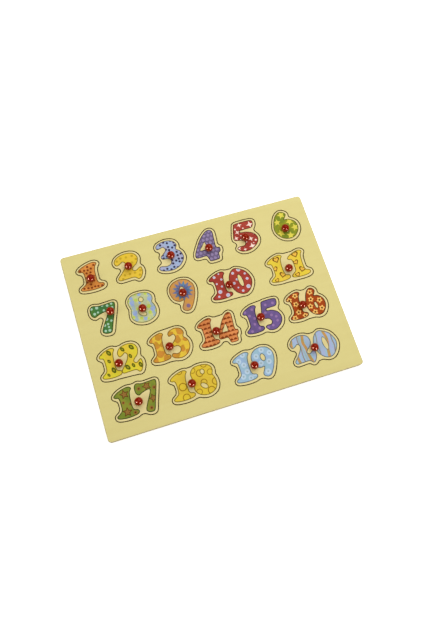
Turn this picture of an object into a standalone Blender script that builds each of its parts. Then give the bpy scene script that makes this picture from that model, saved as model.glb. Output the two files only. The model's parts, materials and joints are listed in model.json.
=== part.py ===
"""A wooden number puzzle: a board with twenty lift-out tiles, 1 to 20, each with a round knob.

The top sheet is sawn through along twenty outlines, and a thin backing sheet closes the recesses from
below. A tile is the piece that the saw cuts out of the top sheet, so it has the same thickness, and its
outline follows the printed number on it: the number's own outline, let out by an even margin, with the
hollows between the lobes filled to a radius that the saw can turn in.

All sizes are in metres. The board lies flat, its underside at z = 0, centred on the origin, with +X to
the right along the rows of numbers and +Y up the board.
"""

import math
from typing import NamedTuple

import bmesh
import bpy
import numpy as np

MM = 0.001

# The board
SHEET_THICKNESS = 5.0 * MM
BACKING_THICKNESS = 2.7 * MM
GLUE_LINE = 0.3 * MM
CORNER_RADIUS = 6.0 * MM
EDGE_ROUND = 1.0 * MM

# The wood left round and between the recesses
LEFT_MARGIN = 9.3 * MM
RIGHT_MARGIN = 12.2 * MM
TOP_MARGIN = 9.7 * MM
BOTTOM_MARGIN = 14.4 * MM

# The printed digits. The tables of digits and rows below are in layout units. The 6 that stands alone is
# 36 units tall and gives the unit its size, and the other digits are 33 to 39 units tall.
DIGIT_HEIGHT = 36.0 * MM
LAYOUT_UNIT = DIGIT_HEIGHT / 36

# The tiles
PRINT_MARGIN = 2.3 * MM
SAW_CUT = 1.0 * MM
HOLLOW_RADIUS = 3.2 * MM
SEAT_GAP = 0.3 * MM
SANDED_EDGE = 0.35 * MM

# The knobs
KNOB_DIAMETER = 9.5 * MM
NECK_DIAMETER = 5.0 * MM
NECK_HEIGHT = 0.5 * MM
FOOT_DIAMETER = 6.6 * MM
FOOT_THICKNESS = 0.6 * MM
STEM_DIAMETER = 4.0 * MM
PRESS_CLEARANCE = 0.3 * MM

# How finely the curves are made
CURVE_STEPS = 5
FIELD_STEP = 0.8 * MM
OUTLINE_TOLERANCE = 0.25 * MM
CORNER_POINTS = 7
KNOB_SEGMENTS = 12
BALL_RINGS = 5
WELD_DISTANCE = 0.01 * MM

# The ten printed digits, as points on a smooth closed outline. Only the shape counts here: each is
# stretched to the printed size that it has on its tile.
DIGITS = {
    0: ((34, 100), (56, 96), (84, 80), (100, 50), (92, 24), (70, 4), (44, 0), (18, 12), (3, 35), (0, 63),
        (12, 87)),
    1: ((7, 79), (22, 89), (53, 98), (78, 100), (90, 93), (81, 83), (76, 66), (75, 36), (80, 22), (97, 17),
        (99, 8), (84, 2), (45, 0), (8, 4), (1, 12), (16, 20), (28, 30), (29, 59), (25, 71), (14, 73)),
    2: ((0, 77), (12, 91), (37, 99), (66, 99), (86, 91), (94, 75), (86, 57), (68, 45), (63, 37), (74, 32),
        (91, 40), (98, 38), (99, 21), (88, 4), (76, 0), (62, 9), (29, 9), (6, 9), (0, 18), (19, 34),
        (36, 51), (42, 65), (33, 73), (21, 67), (6, 64)),
    3: ((10, 87), (20, 95), (48, 100), (76, 94), (87, 79), (80, 66), (95, 54), (100, 35), (91, 19),
        (73, 6), (45, 0), (14, 4), (0, 13), (8, 21), (30, 17), (47, 22), (51, 34), (40, 41), (23, 42),
        (18, 51), (31, 60), (42, 70), (36, 81), (23, 79), (12, 78)),
    4: ((68, 99), (81, 100), (90, 92), (89, 72), (86, 47), (90, 38), (99, 37), (98, 25), (89, 19),
        (88, 6), (82, 0), (52, 0), (47, 7), (41, 19), (17, 19), (2, 21), (1, 31), (13, 50), (36, 77),
        (55, 92)),
    5: ((20, 98), (44, 100), (90, 99), (100, 91), (90, 75), (58, 73), (36, 72), (36, 66), (62, 63),
        (90, 52), (100, 33), (86, 14), (53, 1), (20, 2), (2, 14), (12, 20), (34, 20), (43, 29), (31, 39),
        (5, 43), (0, 52), (7, 73), (15, 92)),
    6: ((38, 99), (55, 98), (67, 88), (60, 77), (53, 70), (72, 68), (93, 56), (100, 39), (94, 21),
        (76, 5), (52, 0), (25, 7), (6, 24), (0, 44), (7, 66), (20, 87)),
    7: ((13, 99), (36, 95), (70, 96), (95, 96), (99, 86), (87, 57), (74, 29), (64, 6), (55, 0), (36, 2),
        (27, 11), (39, 31), (59, 57), (64, 69), (53, 71), (28, 66), (13, 61), (1, 70), (1, 90)),
    8: ((50, 100), (79, 96), (96, 84), (97, 70), (92, 60), (99, 46), (99, 25), (84, 8), (53, 0), (20, 6),
        (2, 21), (2, 39), (6, 53), (2, 66), (2, 82), (20, 97)),
    9: ((48, 100), (23, 95), (5, 82), (0, 64), (9, 43), (28, 34), (45, 35), (42, 27), (32, 13), (37, 4),
        (54, 0), (69, 7), (87, 30), (98, 53), (99, 74), (84, 92), (67, 98)),
}


class Figure(NamedTuple):
    """One printed digit of a number, with its place beside the digit before it, in layout units."""

    digit: int
    width: float
    height: float
    gap: float = 0.0
    rise: float = 0.0


class Tile(NamedTuple):
    """One number in a row, in layout units.

    The web is the wood between its recess and the one before it, the lift is how far its recess lies
    above the lowest one of its row, and the knob stands that far from the middle of the tile. A bridge
    of wood joins two digits. It stays this far above the line from foot to foot, and this far below the
    line from top to top.
    """

    web: float
    lift: float
    knob: tuple
    figures: tuple
    bridge: tuple = ()


class Row(NamedTuple):
    """One row of tiles, with the wood between it and the row below it, in layout units."""

    web: float
    tiles: tuple


ROWS = (
    Row(4.8, (
        Tile(2.2, 4.2, (0.2, -3.5), (Figure(1, 27.6, 33.1),)),
        Tile(9.9, 2.6, (-0.1, -0.2), (Figure(2, 30.0, 34.5),)),
        Tile(12.4, 1.9, (0.9, -1.6), (Figure(3, 31.9, 37.6),)),
        Tile(6.8, 0.0, (1.7, -3.8), (Figure(4, 31.2, 38.9),)),
        Tile(12.7, 0.6, (-1.7, -2.8), (Figure(5, 28.7, 37.3),)),
        Tile(15.8, 1.5, (-3.1, -5.2), (Figure(6, 29.8, 36.0),)),
    )),
    Row(6.7, (
        Tile(5.3, 0.0, (7.3, 5.9), (Figure(7, 29.4, 35.7),)),
        Tile(7.5, 1.0, (-0.7, -2.0), (Figure(8, 29.7, 35.6),)),
        Tile(13.1, 0.1, (-1.0, 2.1), (Figure(9, 29.8, 39.0),)),
        Tile(10.2, 1.2, (-3.4, -2.3), (Figure(1, 24.3, 33.0), Figure(0, 26.2, 33.1, 0.5, -0.6)), (0.3, 1.6)),
        Tile(15.2, 2.6, (-1.2, -3.6), (Figure(1, 24.1, 32.8), Figure(1, 23.7, 32.7, 1.7, -0.3)), (0.2, 2.0)),
    )),
    Row(5.2, (
        Tile(0.0, 0.0, (-2.4, -2.0), (Figure(1, 22.2, 33.3), Figure(2, 24.8, 34.7, -0.2, -1.5)), (0.5, 2.0)),
        Tile(4.9, 1.6, (-1.0, -1.9), (Figure(1, 20.8, 32.8), Figure(3, 23.3, 35.2, 0.9, -1.5)), (1.1, 0.0)),
        Tile(5.3, 1.8, (-2.7, -0.5), (Figure(1, 21.9, 33.1), Figure(4, 23.6, 35.8, 0.3, -2.2)), (5.6, 3.2)),
        Tile(2.7, 2.3, (-2.9, -0.2), (Figure(1, 21.1, 33.0), Figure(5, 22.1, 36.4, 1.3, -1.7)), (2.0, 0.0)),
        Tile(2.8, 4.0, (-5.7, -0.8), (Figure(1, 22.2, 32.9), Figure(6, 23.1, 34.2, 0.8, -1.1)), (1.4, 2.3)),
    )),
    Row(0.0, (
        Tile(3.9, 0.8, (0.9, -2.5), (Figure(1, 24.9, 33.1), Figure(7, 25.4, 34.7, 0.7, -1.0)), (3.2, 0.8)),
        Tile(6.6, 0.8, (-2.2, -0.5), (Figure(1, 24.6, 32.8), Figure(8, 26.2, 34.4, 0.5, -0.9)), (2.3, 1.2)),
        Tile(15.2, 0.2, (-1.3, -1.0), (Figure(1, 24.8, 33.1), Figure(9, 26.4, 34.8, -1.6, -0.9)), (2.6, 1.4)),
        Tile(14.5, 0.0, (-1.6, -1.1), (Figure(2, 26.6, 34.4), Figure(0, 26.6, 33.0, 0.9, 0.6)), (3.2, 2.9)),
    )),
)


def smooth_outline(points):
    """A closed curve through the points, as an array with CURVE_STEPS points from each to the next."""
    corners = np.asarray(points, float)
    before, after = np.roll(corners, 1, axis=0), np.roll(corners, -1, axis=0)
    slopes = (after - before) / 2
    steps = np.arange(CURVE_STEPS)[None, :, None] / CURVE_STEPS
    start, end = corners[:, None], after[:, None]
    leave, arrive = slopes[:, None], np.roll(slopes, -1, axis=0)[:, None]
    curve = ((2 * steps**3 - 3 * steps**2 + 1) * start + (steps**3 - 2 * steps**2 + steps) * leave
             + (3 * steps**2 - 2 * steps**3) * end + (steps**3 - steps**2) * arrive)
    return curve.reshape(-1, 2)


def digit_outline(figure, left, bottom):
    """The outline of one printed digit, stretched to its size, with its box at the place given."""
    curve = smooth_outline(DIGITS[figure.digit])
    low, high = curve.min(axis=0), curve.max(axis=0)
    size = np.array((figure.width, figure.height)) * LAYOUT_UNIT
    return (curve - low) / (high - low) * size + (left, bottom)


def number_outlines(figures):
    """The outlines of a number's digits, side by side, with their lower left corner at the origin."""
    outlines = []
    left = 0.0
    for figure in figures:
        left += figure.gap * LAYOUT_UNIT
        outlines.append(digit_outline(figure, left, figure.rise * LAYOUT_UNIT))
        left += figure.width * LAYOUT_UNIT
    corner = np.vstack(outlines).min(axis=0)
    return [outline - corner for outline in outlines]


def bridge_outline(outlines, rise, sag):
    """The outline of the wood between two digits, from the feet of both to the tops of both."""
    feet = [outline[outline[:, 1].argmin()] + (0, rise * LAYOUT_UNIT) for outline in outlines]
    tops = [outline[outline[:, 1].argmax()] - (0, sag * LAYOUT_UNIT) for outline in outlines]
    return np.array((*feet, *reversed(tops)))


def signed_distance(outline, places):
    """How far each place lies outside a closed outline; inside it the distance is negative."""
    start, end = outline[:, None], np.roll(outline, -1, axis=0)[:, None]
    edge, offset = end - start, places[None] - start
    squared = np.maximum((edge**2).sum(axis=2), WELD_DISTANCE**2)
    share = np.clip((offset * edge).sum(axis=2) / squared, 0, 1)
    distance = np.linalg.norm(offset - share[..., None] * edge, axis=2).min(axis=0)
    crosses = (start[..., 1] > places[:, 1]) != (end[..., 1] > places[:, 1])
    rise = np.where(edge[..., 1] == 0, 1, edge[..., 1])
    reach = start[..., 0] + offset[..., 1] * edge[..., 0] / rise
    inside = (crosses & (places[:, 0] < reach)).sum(axis=0) % 2 == 1
    return np.where(inside, -distance, distance)


def level_line(heights, corner, level):
    """The longest closed line on which a grid of heights passes a level, as points in order.

    Each cell of the grid is halved along its diagonal. The line enters a half across one of its sides
    and leaves across another, and following these pairs of sides from half to half gives the line.
    """
    above = heights > level
    high_corners = sum(above[row:row - 1 or None, column:column - 1 or None].astype(int)
                       for row in (0, 1) for column in (0, 1))
    neighbours = {}
    for row, column in np.argwhere((high_corners > 0) & (high_corners < 4)).tolist():
        low, across = (row, column), (row + 1, column + 1)
        for third in ((row, column + 1), (row + 1, column)):
            sides = ((low, third), (third, across), (low, across))
            crossed = [side for side in sides if above[side[0]] != above[side[1]]]
            if crossed:
                neighbours.setdefault(crossed[0], []).append(crossed[1])
                neighbours.setdefault(crossed[1], []).append(crossed[0])
    longest = []
    while neighbours:
        side = next(iter(neighbours))
        line = []
        while side is not None:
            line.append(side)
            linked = neighbours.pop(side)
            side = next((other for other in linked if other in neighbours), None)
        longest = max(longest, line, key=len)
    points = []
    for (row, column), (other_row, other_column) in longest:
        low, high = heights[row, column], heights[other_row, other_column]
        share = (level - low) / (high - low)
        points.append((column + share * (other_column - column), row + share * (other_row - row)))
    return np.array(points) * FIELD_STEP + corner


def distance_grid(outlines, spare):
    """How far each place of a grid lies outside a set of outlines, with the grid's lower left corner."""
    everything = np.vstack(outlines)
    corner = everything.min(axis=0) - spare
    columns, rows = np.ceil((everything.max(axis=0) + spare - corner) / FIELD_STEP).astype(int) + 1
    grid_x, grid_y = np.meshgrid(np.arange(columns), np.arange(rows))
    places = np.stack((grid_x.ravel(), grid_y.ravel()), axis=1) * FIELD_STEP + corner
    heights = np.min([signed_distance(outline, places) for outline in outlines], axis=0)
    return heights.reshape(rows, columns), corner


def far_points(line, tolerance):
    """The points of an open line that lie off its chord by more than the tolerance, in order."""
    start, chord = line[0], line[-1] - line[0]
    offset = line - start
    sideways = np.abs(offset[:, 0] * chord[1] - offset[:, 1] * chord[0]) / np.hypot(*chord)
    farthest = int(sideways.argmax())
    if sideways[farthest] <= tolerance:
        return [start]
    return far_points(line[:farthest + 1], tolerance) + far_points(line[farthest:], tolerance)


def thinned(outline, tolerance):
    """A closed outline with only the points that it needs to stay true within the tolerance."""
    outline = np.roll(outline, -int(outline[:, 0].argmin()), axis=0)
    half = int(outline[:, 0].argmax())
    closed = np.vstack((outline, outline[:1]))
    return np.array(far_points(closed[:half + 1], tolerance) + far_points(closed[half:], tolerance))


def saw_lines(tile):
    """The outline of a number's tile and that of its recess.

    The number, with the bridge between its digits, is let out by the margin and the hollow radius
    together, and taken in again by the hollow radius, which fills every hollow to that radius and leaves
    the lobes as they were.
    """
    swell = PRINT_MARGIN + HOLLOW_RADIUS
    number = number_outlines(tile.figures)
    if tile.bridge:
        number.append(bridge_outline(number, *tile.bridge))
    swollen = level_line(*distance_grid(number, swell + FIELD_STEP), swell)
    grid = distance_grid([thinned(swollen, OUTLINE_TOLERANCE / 10)], FIELD_STEP)
    sawn = level_line(*grid, -HOLLOW_RADIUS)
    recess = level_line(*grid, SAW_CUT - HOLLOW_RADIUS)
    return thinned(sawn, OUTLINE_TOLERANCE), thinned(recess, OUTLINE_TOLERANCE)


def rounded_rectangle(length, width, radius):
    """The outline of a rectangle with round corners, centred on the origin."""
    points = []
    for quarter, (side, end) in enumerate(((1, 1), (-1, 1), (-1, -1), (1, -1))):
        for step in range(CORNER_POINTS):
            angle = math.radians(90) * (quarter + step / (CORNER_POINTS - 1))
            points.append((side * (length / 2 - radius) + radius * math.cos(angle),
                           end * (width / 2 - radius) + radius * math.sin(angle)))
    return np.array(points)


def circle(diameter, middle):
    """The outline of a drilled hole."""
    angles = np.arange(KNOB_SEGMENTS) * 2 * math.pi / KNOB_SEGMENTS
    return np.stack((np.cos(angles), np.sin(angles)), axis=1) * diameter / 2 + middle


def material(name, colour, roughness):
    """A plain finish in the colour given, as red, green and blue."""
    finish = bpy.data.materials.new(name)
    finish.use_nodes = True
    shader = finish.node_tree.nodes["Principled BSDF"]
    shader.inputs["Base Color"].default_value = (*colour, 1.0)
    shader.inputs["Roughness"].default_value = roughness
    shader.inputs["Metallic"].default_value = 0.0
    return finish


def sawn_sheet(name, outline, openings, thickness):
    """A sheet of wood sawn along its outline and round its openings, standing on its own z = 0."""
    curve = bpy.data.curves.new(name, "CURVE")
    curve.dimensions = "2D"
    curve.fill_mode = "BOTH"
    curve.extrude = thickness / 2
    for loop in (outline, *openings):
        spline = curve.splines.new("POLY")
        spline.points.add(len(loop) - 1)
        for point, (x, y) in zip(spline.points, loop):
            point.co = (x, y, 0.0, 1.0)
        spline.use_cyclic_u = True
    flat = bpy.data.objects.new(name, curve)
    bpy.context.scene.collection.objects.link(flat)
    depsgraph = bpy.context.evaluated_depsgraph_get()
    mesh = bpy.data.meshes.new_from_object(flat.evaluated_get(depsgraph))
    bpy.data.objects.remove(flat)
    solid = bmesh.new()
    solid.from_mesh(mesh)
    bmesh.ops.remove_doubles(solid, verts=solid.verts, dist=WELD_DISTANCE)
    bmesh.ops.translate(solid, verts=solid.verts, vec=(0, 0, thickness / 2))
    return solid, mesh


def break_rim(solid, outline, height, width, segments):
    """Round the rim that an outline makes at one height of a sheet."""

    def on_rim(vert):
        if abs(vert.co.z - height) > WELD_DISTANCE:
            return False
        return np.hypot(*(outline - vert.co.xy[:]).T).min() < WELD_DISTANCE

    edges = [edge for edge in solid.edges if all(on_rim(vert) for vert in edge.verts)
             and any(abs(face.normal.z) < 0.5 for face in edge.link_faces)]
    bmesh.ops.bevel(solid, geom=edges, offset=width, segments=segments, profile=0.5, affect="EDGES")


def finished(name, solid, mesh, finish, parts):
    """Turn a modelled solid into a named object of the puzzle."""
    bmesh.ops.recalc_face_normals(solid, faces=solid.faces)
    solid.to_mesh(mesh)
    solid.free()
    mesh.name = name
    mesh.materials.clear()
    mesh.materials.append(finish)
    part = bpy.data.objects.new(name, mesh)
    parts.objects.link(part)
    return part


def knob_profile():
    """The knob's outline from the top of its ball down to the end of its stem, with z = 0 under its foot."""
    radius = KNOB_DIAMETER / 2
    below = math.acos(NECK_DIAMETER / KNOB_DIAMETER)
    middle = FOOT_THICKNESS + NECK_HEIGHT + radius * math.sin(below)
    points = []
    for ring in range(BALL_RINGS + 1):
        angle = math.radians(90) - ring / BALL_RINGS * (math.radians(90) + below)
        points.append((radius * math.cos(angle), middle + radius * math.sin(angle)))
    return points + [
        (NECK_DIAMETER / 2, FOOT_THICKNESS),
        (FOOT_DIAMETER / 2, FOOT_THICKNESS / 2),
        (FOOT_DIAMETER / 2, 0.0),
        (STEM_DIAMETER / 2, 0.0),
        (STEM_DIAMETER / 2, -SHEET_THICKNESS),
        (0.0, -SHEET_THICKNESS),
    ]


def turned_knob(name, finish, parts):
    """One knob, turned round its own axis, standing on the underside of its foot."""
    profile = knob_profile()
    mesh = bpy.data.meshes.new(name)
    edges = [(index, index + 1) for index in range(len(profile) - 1)]
    mesh.from_pydata([(radius, 0.0, height) for radius, height in profile], edges, [])
    mesh.materials.append(finish)
    knob = bpy.data.objects.new(name, mesh)
    parts.objects.link(knob)
    screw = knob.modifiers.new("Turn", "SCREW")
    screw.steps = KNOB_SEGMENTS
    screw.render_steps = KNOB_SEGMENTS
    screw.use_merge_vertices = True
    screw.merge_threshold = WELD_DISTANCE
    return knob


def build_tile(number, tile, outline, place, seat, finishes, parts):
    """One tile with its knob; its own origin is on the axis of the knob, at the foot of the tile."""
    middle = (outline.min(axis=0) + outline.max(axis=0)) / 2
    drilled = middle + np.array(tile.knob) * LAYOUT_UNIT
    hole = circle(STEM_DIAMETER + 2 * PRESS_CLEARANCE, drilled)
    solid, mesh = sawn_sheet(f"tile_{number:02d}", outline, [hole], SHEET_THICKNESS)
    break_rim(solid, outline, SHEET_THICKNESS, SANDED_EDGE, 1)
    bmesh.ops.translate(solid, verts=solid.verts, vec=(-drilled[0], -drilled[1], 0))
    wood = finished(f"tile_{number:02d}", solid, mesh, finishes["tile"], parts)
    wood.location = (place[0] + drilled[0], place[1] + drilled[1], seat)
    knob = turned_knob(f"knob_{number:02d}", finishes["knob"], parts)
    knob.parent = wood
    knob.location = (0, 0, SHEET_THICKNESS + PRESS_CLEARANCE)
    return wood


def lay_out():
    """Set the tiles out in their rows.

    Gives the board's length and width, and for each tile its outline, the outline of its recess and
    the place of both, measured from the middle of the board.
    """
    rows = [[(tile, *saw_lines(tile)) for tile in row.tiles] for row in ROWS]
    lengths = [sum(tile.web * LAYOUT_UNIT + np.ptp(recess[:, 0]) for tile, _, recess in made)
               for made in rows]
    heights = [max(tile.lift * LAYOUT_UNIT + np.ptp(recess[:, 1]) for tile, _, recess in made)
               for made in rows]
    length = LEFT_MARGIN + max(lengths) + RIGHT_MARGIN
    width = BOTTOM_MARGIN + sum(heights) + sum(row.web for row in ROWS) * LAYOUT_UNIT + TOP_MARGIN
    placed = []
    top = width / 2 - TOP_MARGIN
    for row, made, height in zip(ROWS, rows, heights):
        left = LEFT_MARGIN - length / 2
        for tile, outline, recess in made:
            left += tile.web * LAYOUT_UNIT
            low = recess.min(axis=0)
            place = np.array((left - low[0], top - height + tile.lift * LAYOUT_UNIT - low[1]))
            placed.append((tile, outline, recess, place))
            left += np.ptp(recess[:, 0])
        top -= height + row.web * LAYOUT_UNIT
    return length, width, placed


def main():
    """Build the whole puzzle."""
    for old in list(bpy.data.objects):
        bpy.data.objects.remove(old)
    parts = bpy.data.collections.new("number_puzzle")
    bpy.context.scene.collection.children.link(parts)
    finishes = {
        "board": material("board_wood", (0.71, 0.63, 0.26), 0.5),
        "backing": material("backing_wood", (0.45, 0.34, 0.16), 0.7),
        "tile": material("tile_wood", (0.90, 0.75, 0.45), 0.5),
        "knob": material("knob_red", (0.40, 0.01, 0.01), 0.12),
    }
    length, width, placed = lay_out()
    edge = rounded_rectangle(length, width, CORNER_RADIUS)
    seat = BACKING_THICKNESS + SEAT_GAP

    solid, mesh = sawn_sheet("backing_sheet", edge, [], BACKING_THICKNESS)
    break_rim(solid, edge, 0.0, EDGE_ROUND, 2)
    finished("backing_sheet", solid, mesh, finishes["backing"], parts)

    openings = [recess + place for _, _, recess, place in placed]
    solid, mesh = sawn_sheet("top_sheet", edge, openings, SHEET_THICKNESS)
    break_rim(solid, edge, SHEET_THICKNESS, EDGE_ROUND, 2)
    sheet = finished("top_sheet", solid, mesh, finishes["board"], parts)
    sheet.location = (0, 0, BACKING_THICKNESS + GLUE_LINE)

    for number, (tile, cut, _, place) in enumerate(placed, start=1):
        build_tile(number, tile, cut, place, seat, finishes, parts)


main()
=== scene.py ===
"""A wooden number puzzle as it is seen: sawn plywood, printed numbers and glossy turned knobs.

The board is a top sheet with twenty sawn openings on a thin backing sheet. Each opening holds a tile with
a printed number and a knob. The outlines of a tile and of its opening both follow the number that is
printed on it, so they are worked out here in the same way as for the solids, only finer.

All sizes are in metres. The printed marks are placed in millimetres from the middle of the board.
"""

import json
import logging
import math
from collections.abc import Callable, Iterator, Sequence
from contextlib import contextmanager
from dataclasses import dataclass, field
from enum import Enum
from typing import NamedTuple

import bmesh
import bpy
import numpy as np
from mathutils import Matrix, Vector
from mathutils.geometry import delaunay_2d_cdt

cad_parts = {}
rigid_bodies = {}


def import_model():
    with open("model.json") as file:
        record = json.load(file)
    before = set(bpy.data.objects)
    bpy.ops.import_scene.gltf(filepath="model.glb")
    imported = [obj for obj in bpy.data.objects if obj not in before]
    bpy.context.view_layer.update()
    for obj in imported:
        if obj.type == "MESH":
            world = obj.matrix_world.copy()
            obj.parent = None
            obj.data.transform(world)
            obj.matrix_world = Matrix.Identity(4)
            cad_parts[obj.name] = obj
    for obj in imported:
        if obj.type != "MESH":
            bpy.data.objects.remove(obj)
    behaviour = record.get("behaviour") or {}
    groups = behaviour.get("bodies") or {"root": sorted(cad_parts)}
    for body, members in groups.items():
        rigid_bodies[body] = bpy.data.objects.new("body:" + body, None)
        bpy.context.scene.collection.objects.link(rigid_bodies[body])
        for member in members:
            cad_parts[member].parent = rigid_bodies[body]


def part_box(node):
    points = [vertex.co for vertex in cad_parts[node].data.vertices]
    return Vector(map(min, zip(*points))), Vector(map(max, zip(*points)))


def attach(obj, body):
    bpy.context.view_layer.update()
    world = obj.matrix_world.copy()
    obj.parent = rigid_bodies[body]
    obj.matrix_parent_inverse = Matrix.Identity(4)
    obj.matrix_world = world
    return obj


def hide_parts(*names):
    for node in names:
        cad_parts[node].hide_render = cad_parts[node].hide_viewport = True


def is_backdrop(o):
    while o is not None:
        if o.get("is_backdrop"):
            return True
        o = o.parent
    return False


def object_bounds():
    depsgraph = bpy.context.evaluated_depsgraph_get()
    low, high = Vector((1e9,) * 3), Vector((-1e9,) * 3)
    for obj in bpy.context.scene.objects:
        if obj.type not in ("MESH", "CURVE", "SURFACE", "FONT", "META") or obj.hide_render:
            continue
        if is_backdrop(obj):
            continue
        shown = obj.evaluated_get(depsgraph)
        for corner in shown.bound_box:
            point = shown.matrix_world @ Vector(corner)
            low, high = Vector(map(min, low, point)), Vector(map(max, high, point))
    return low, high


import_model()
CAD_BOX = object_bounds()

MM = 0.001

Loop = np.ndarray
Colour = tuple[float, float, float]
Place = tuple[float, ...]

log = logging.getLogger("number_puzzle")


# Outlines

CURVE_STEPS = 8
FIELD_STEP = 0.6 * MM
POINT_SPACING = 0.7 * MM
SHORTEST_EDGE = 0.01 * MM
RIM_STEPS = 4
EDGE_ZONE = 3.0 * MM
LEVEL = 0.999
NEARLY_LEVEL = 0.93
STEEP = 0.3
PRINT_SPACING = 0.45 * MM
PRINT_TOLERANCE = 1e-7
ALONG_GRAIN = (0.07, 1.0, 1.0)
ALONG_PLY = (1.0, 1.0, 6.0)
ALONG_SAW = (1.0, 1.0, 0.12)


def smooth_loop(points: Sequence[tuple[float, float]]) -> Loop:
    """Draw a closed curve through a few points.

    Args:
        points: The points in order.

    Returns:
        The curve, with CURVE_STEPS points from each of the points to the next.
    """
    corners = np.asarray(points, float)
    before, after = np.roll(corners, 1, axis=0), np.roll(corners, -1, axis=0)
    slopes = (after - before) / 2
    steps = np.arange(CURVE_STEPS)[None, :, None] / CURVE_STEPS
    start, end = corners[:, None], after[:, None]
    leave, arrive = slopes[:, None], np.roll(slopes, -1, axis=0)[:, None]
    curve = ((2 * steps**3 - 3 * steps**2 + 1) * start + (steps**3 - 2 * steps**2 + steps) * leave
             + (3 * steps**2 - 2 * steps**3) * end + (steps**3 - steps**2) * arrive)
    return curve.reshape(-1, 2)


def evened(loop: Loop, spacing: float) -> Loop:
    """Space the points of a closed outline evenly and take the last unevenness out of it.

    Args:
        loop: The outline.
        spacing: The distance wanted from one point to the next.

    Returns:
        The same outline with evenly spaced points.
    """
    closed = np.vstack((loop, loop[:1]))
    along = np.concatenate(([0.0], np.cumsum(np.linalg.norm(np.diff(closed, axis=0), axis=1))))
    count = max(8, round(along[-1] / spacing))
    stops = np.arange(count) * along[-1] / count
    even = np.stack([np.interp(stops, along, closed[:, axis]) for axis in (0, 1)], axis=1)
    return (np.roll(even, 1, axis=0) + 2 * even + np.roll(even, -1, axis=0)) / 4


def is_anticlockwise(loop: Loop) -> bool:
    """Say which way round an outline runs."""
    x, y = loop[:, 0], loop[:, 1]
    return (x * np.roll(y, -1) - y * np.roll(x, -1)).sum() > 0


def ellipse(middle: Sequence[float], size: Sequence[float], turn: float = 0.0, count: int = 28) -> Loop:
    """Draw an ellipse.

    Args:
        middle: Its middle.
        size: Its whole width and height.
        turn: How far it is turned, anticlockwise, in degrees.
        count: How many points it gets.

    Returns:
        Its outline.
    """
    angles = np.arange(count) * 2 * math.pi / count
    flat = np.stack((np.cos(angles) * size[0], np.sin(angles) * size[1]), axis=1) / 2
    return turned(flat, turn) + middle


def turned(loop: Loop, degrees: float) -> Loop:
    """Turn an outline round the origin, anticlockwise."""
    cosine, sine = math.cos(math.radians(degrees)), math.sin(math.radians(degrees))
    return loop @ np.array(((cosine, sine), (-sine, cosine)))


def rounded_rectangle(length: float, width: float, radius: float, corner_points: int = 16) -> Loop:
    """Draw a rectangle with round corners, centred on the origin.

    Args:
        length: Its size along X.
        width: Its size along Y.
        radius: The radius of its corners.
        corner_points: How many points each corner gets.

    Returns:
        Its outline.
    """
    points = []
    for quarter, (side, end) in enumerate(((1, 1), (-1, 1), (-1, -1), (1, -1))):
        for step in range(corner_points):
            angle = math.radians(90) * (quarter + step / (corner_points - 1))
            points.append((side * (length / 2 - radius) + radius * math.cos(angle),
                           end * (width / 2 - radius) + radius * math.sin(angle)))
    return np.array(points)


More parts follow.
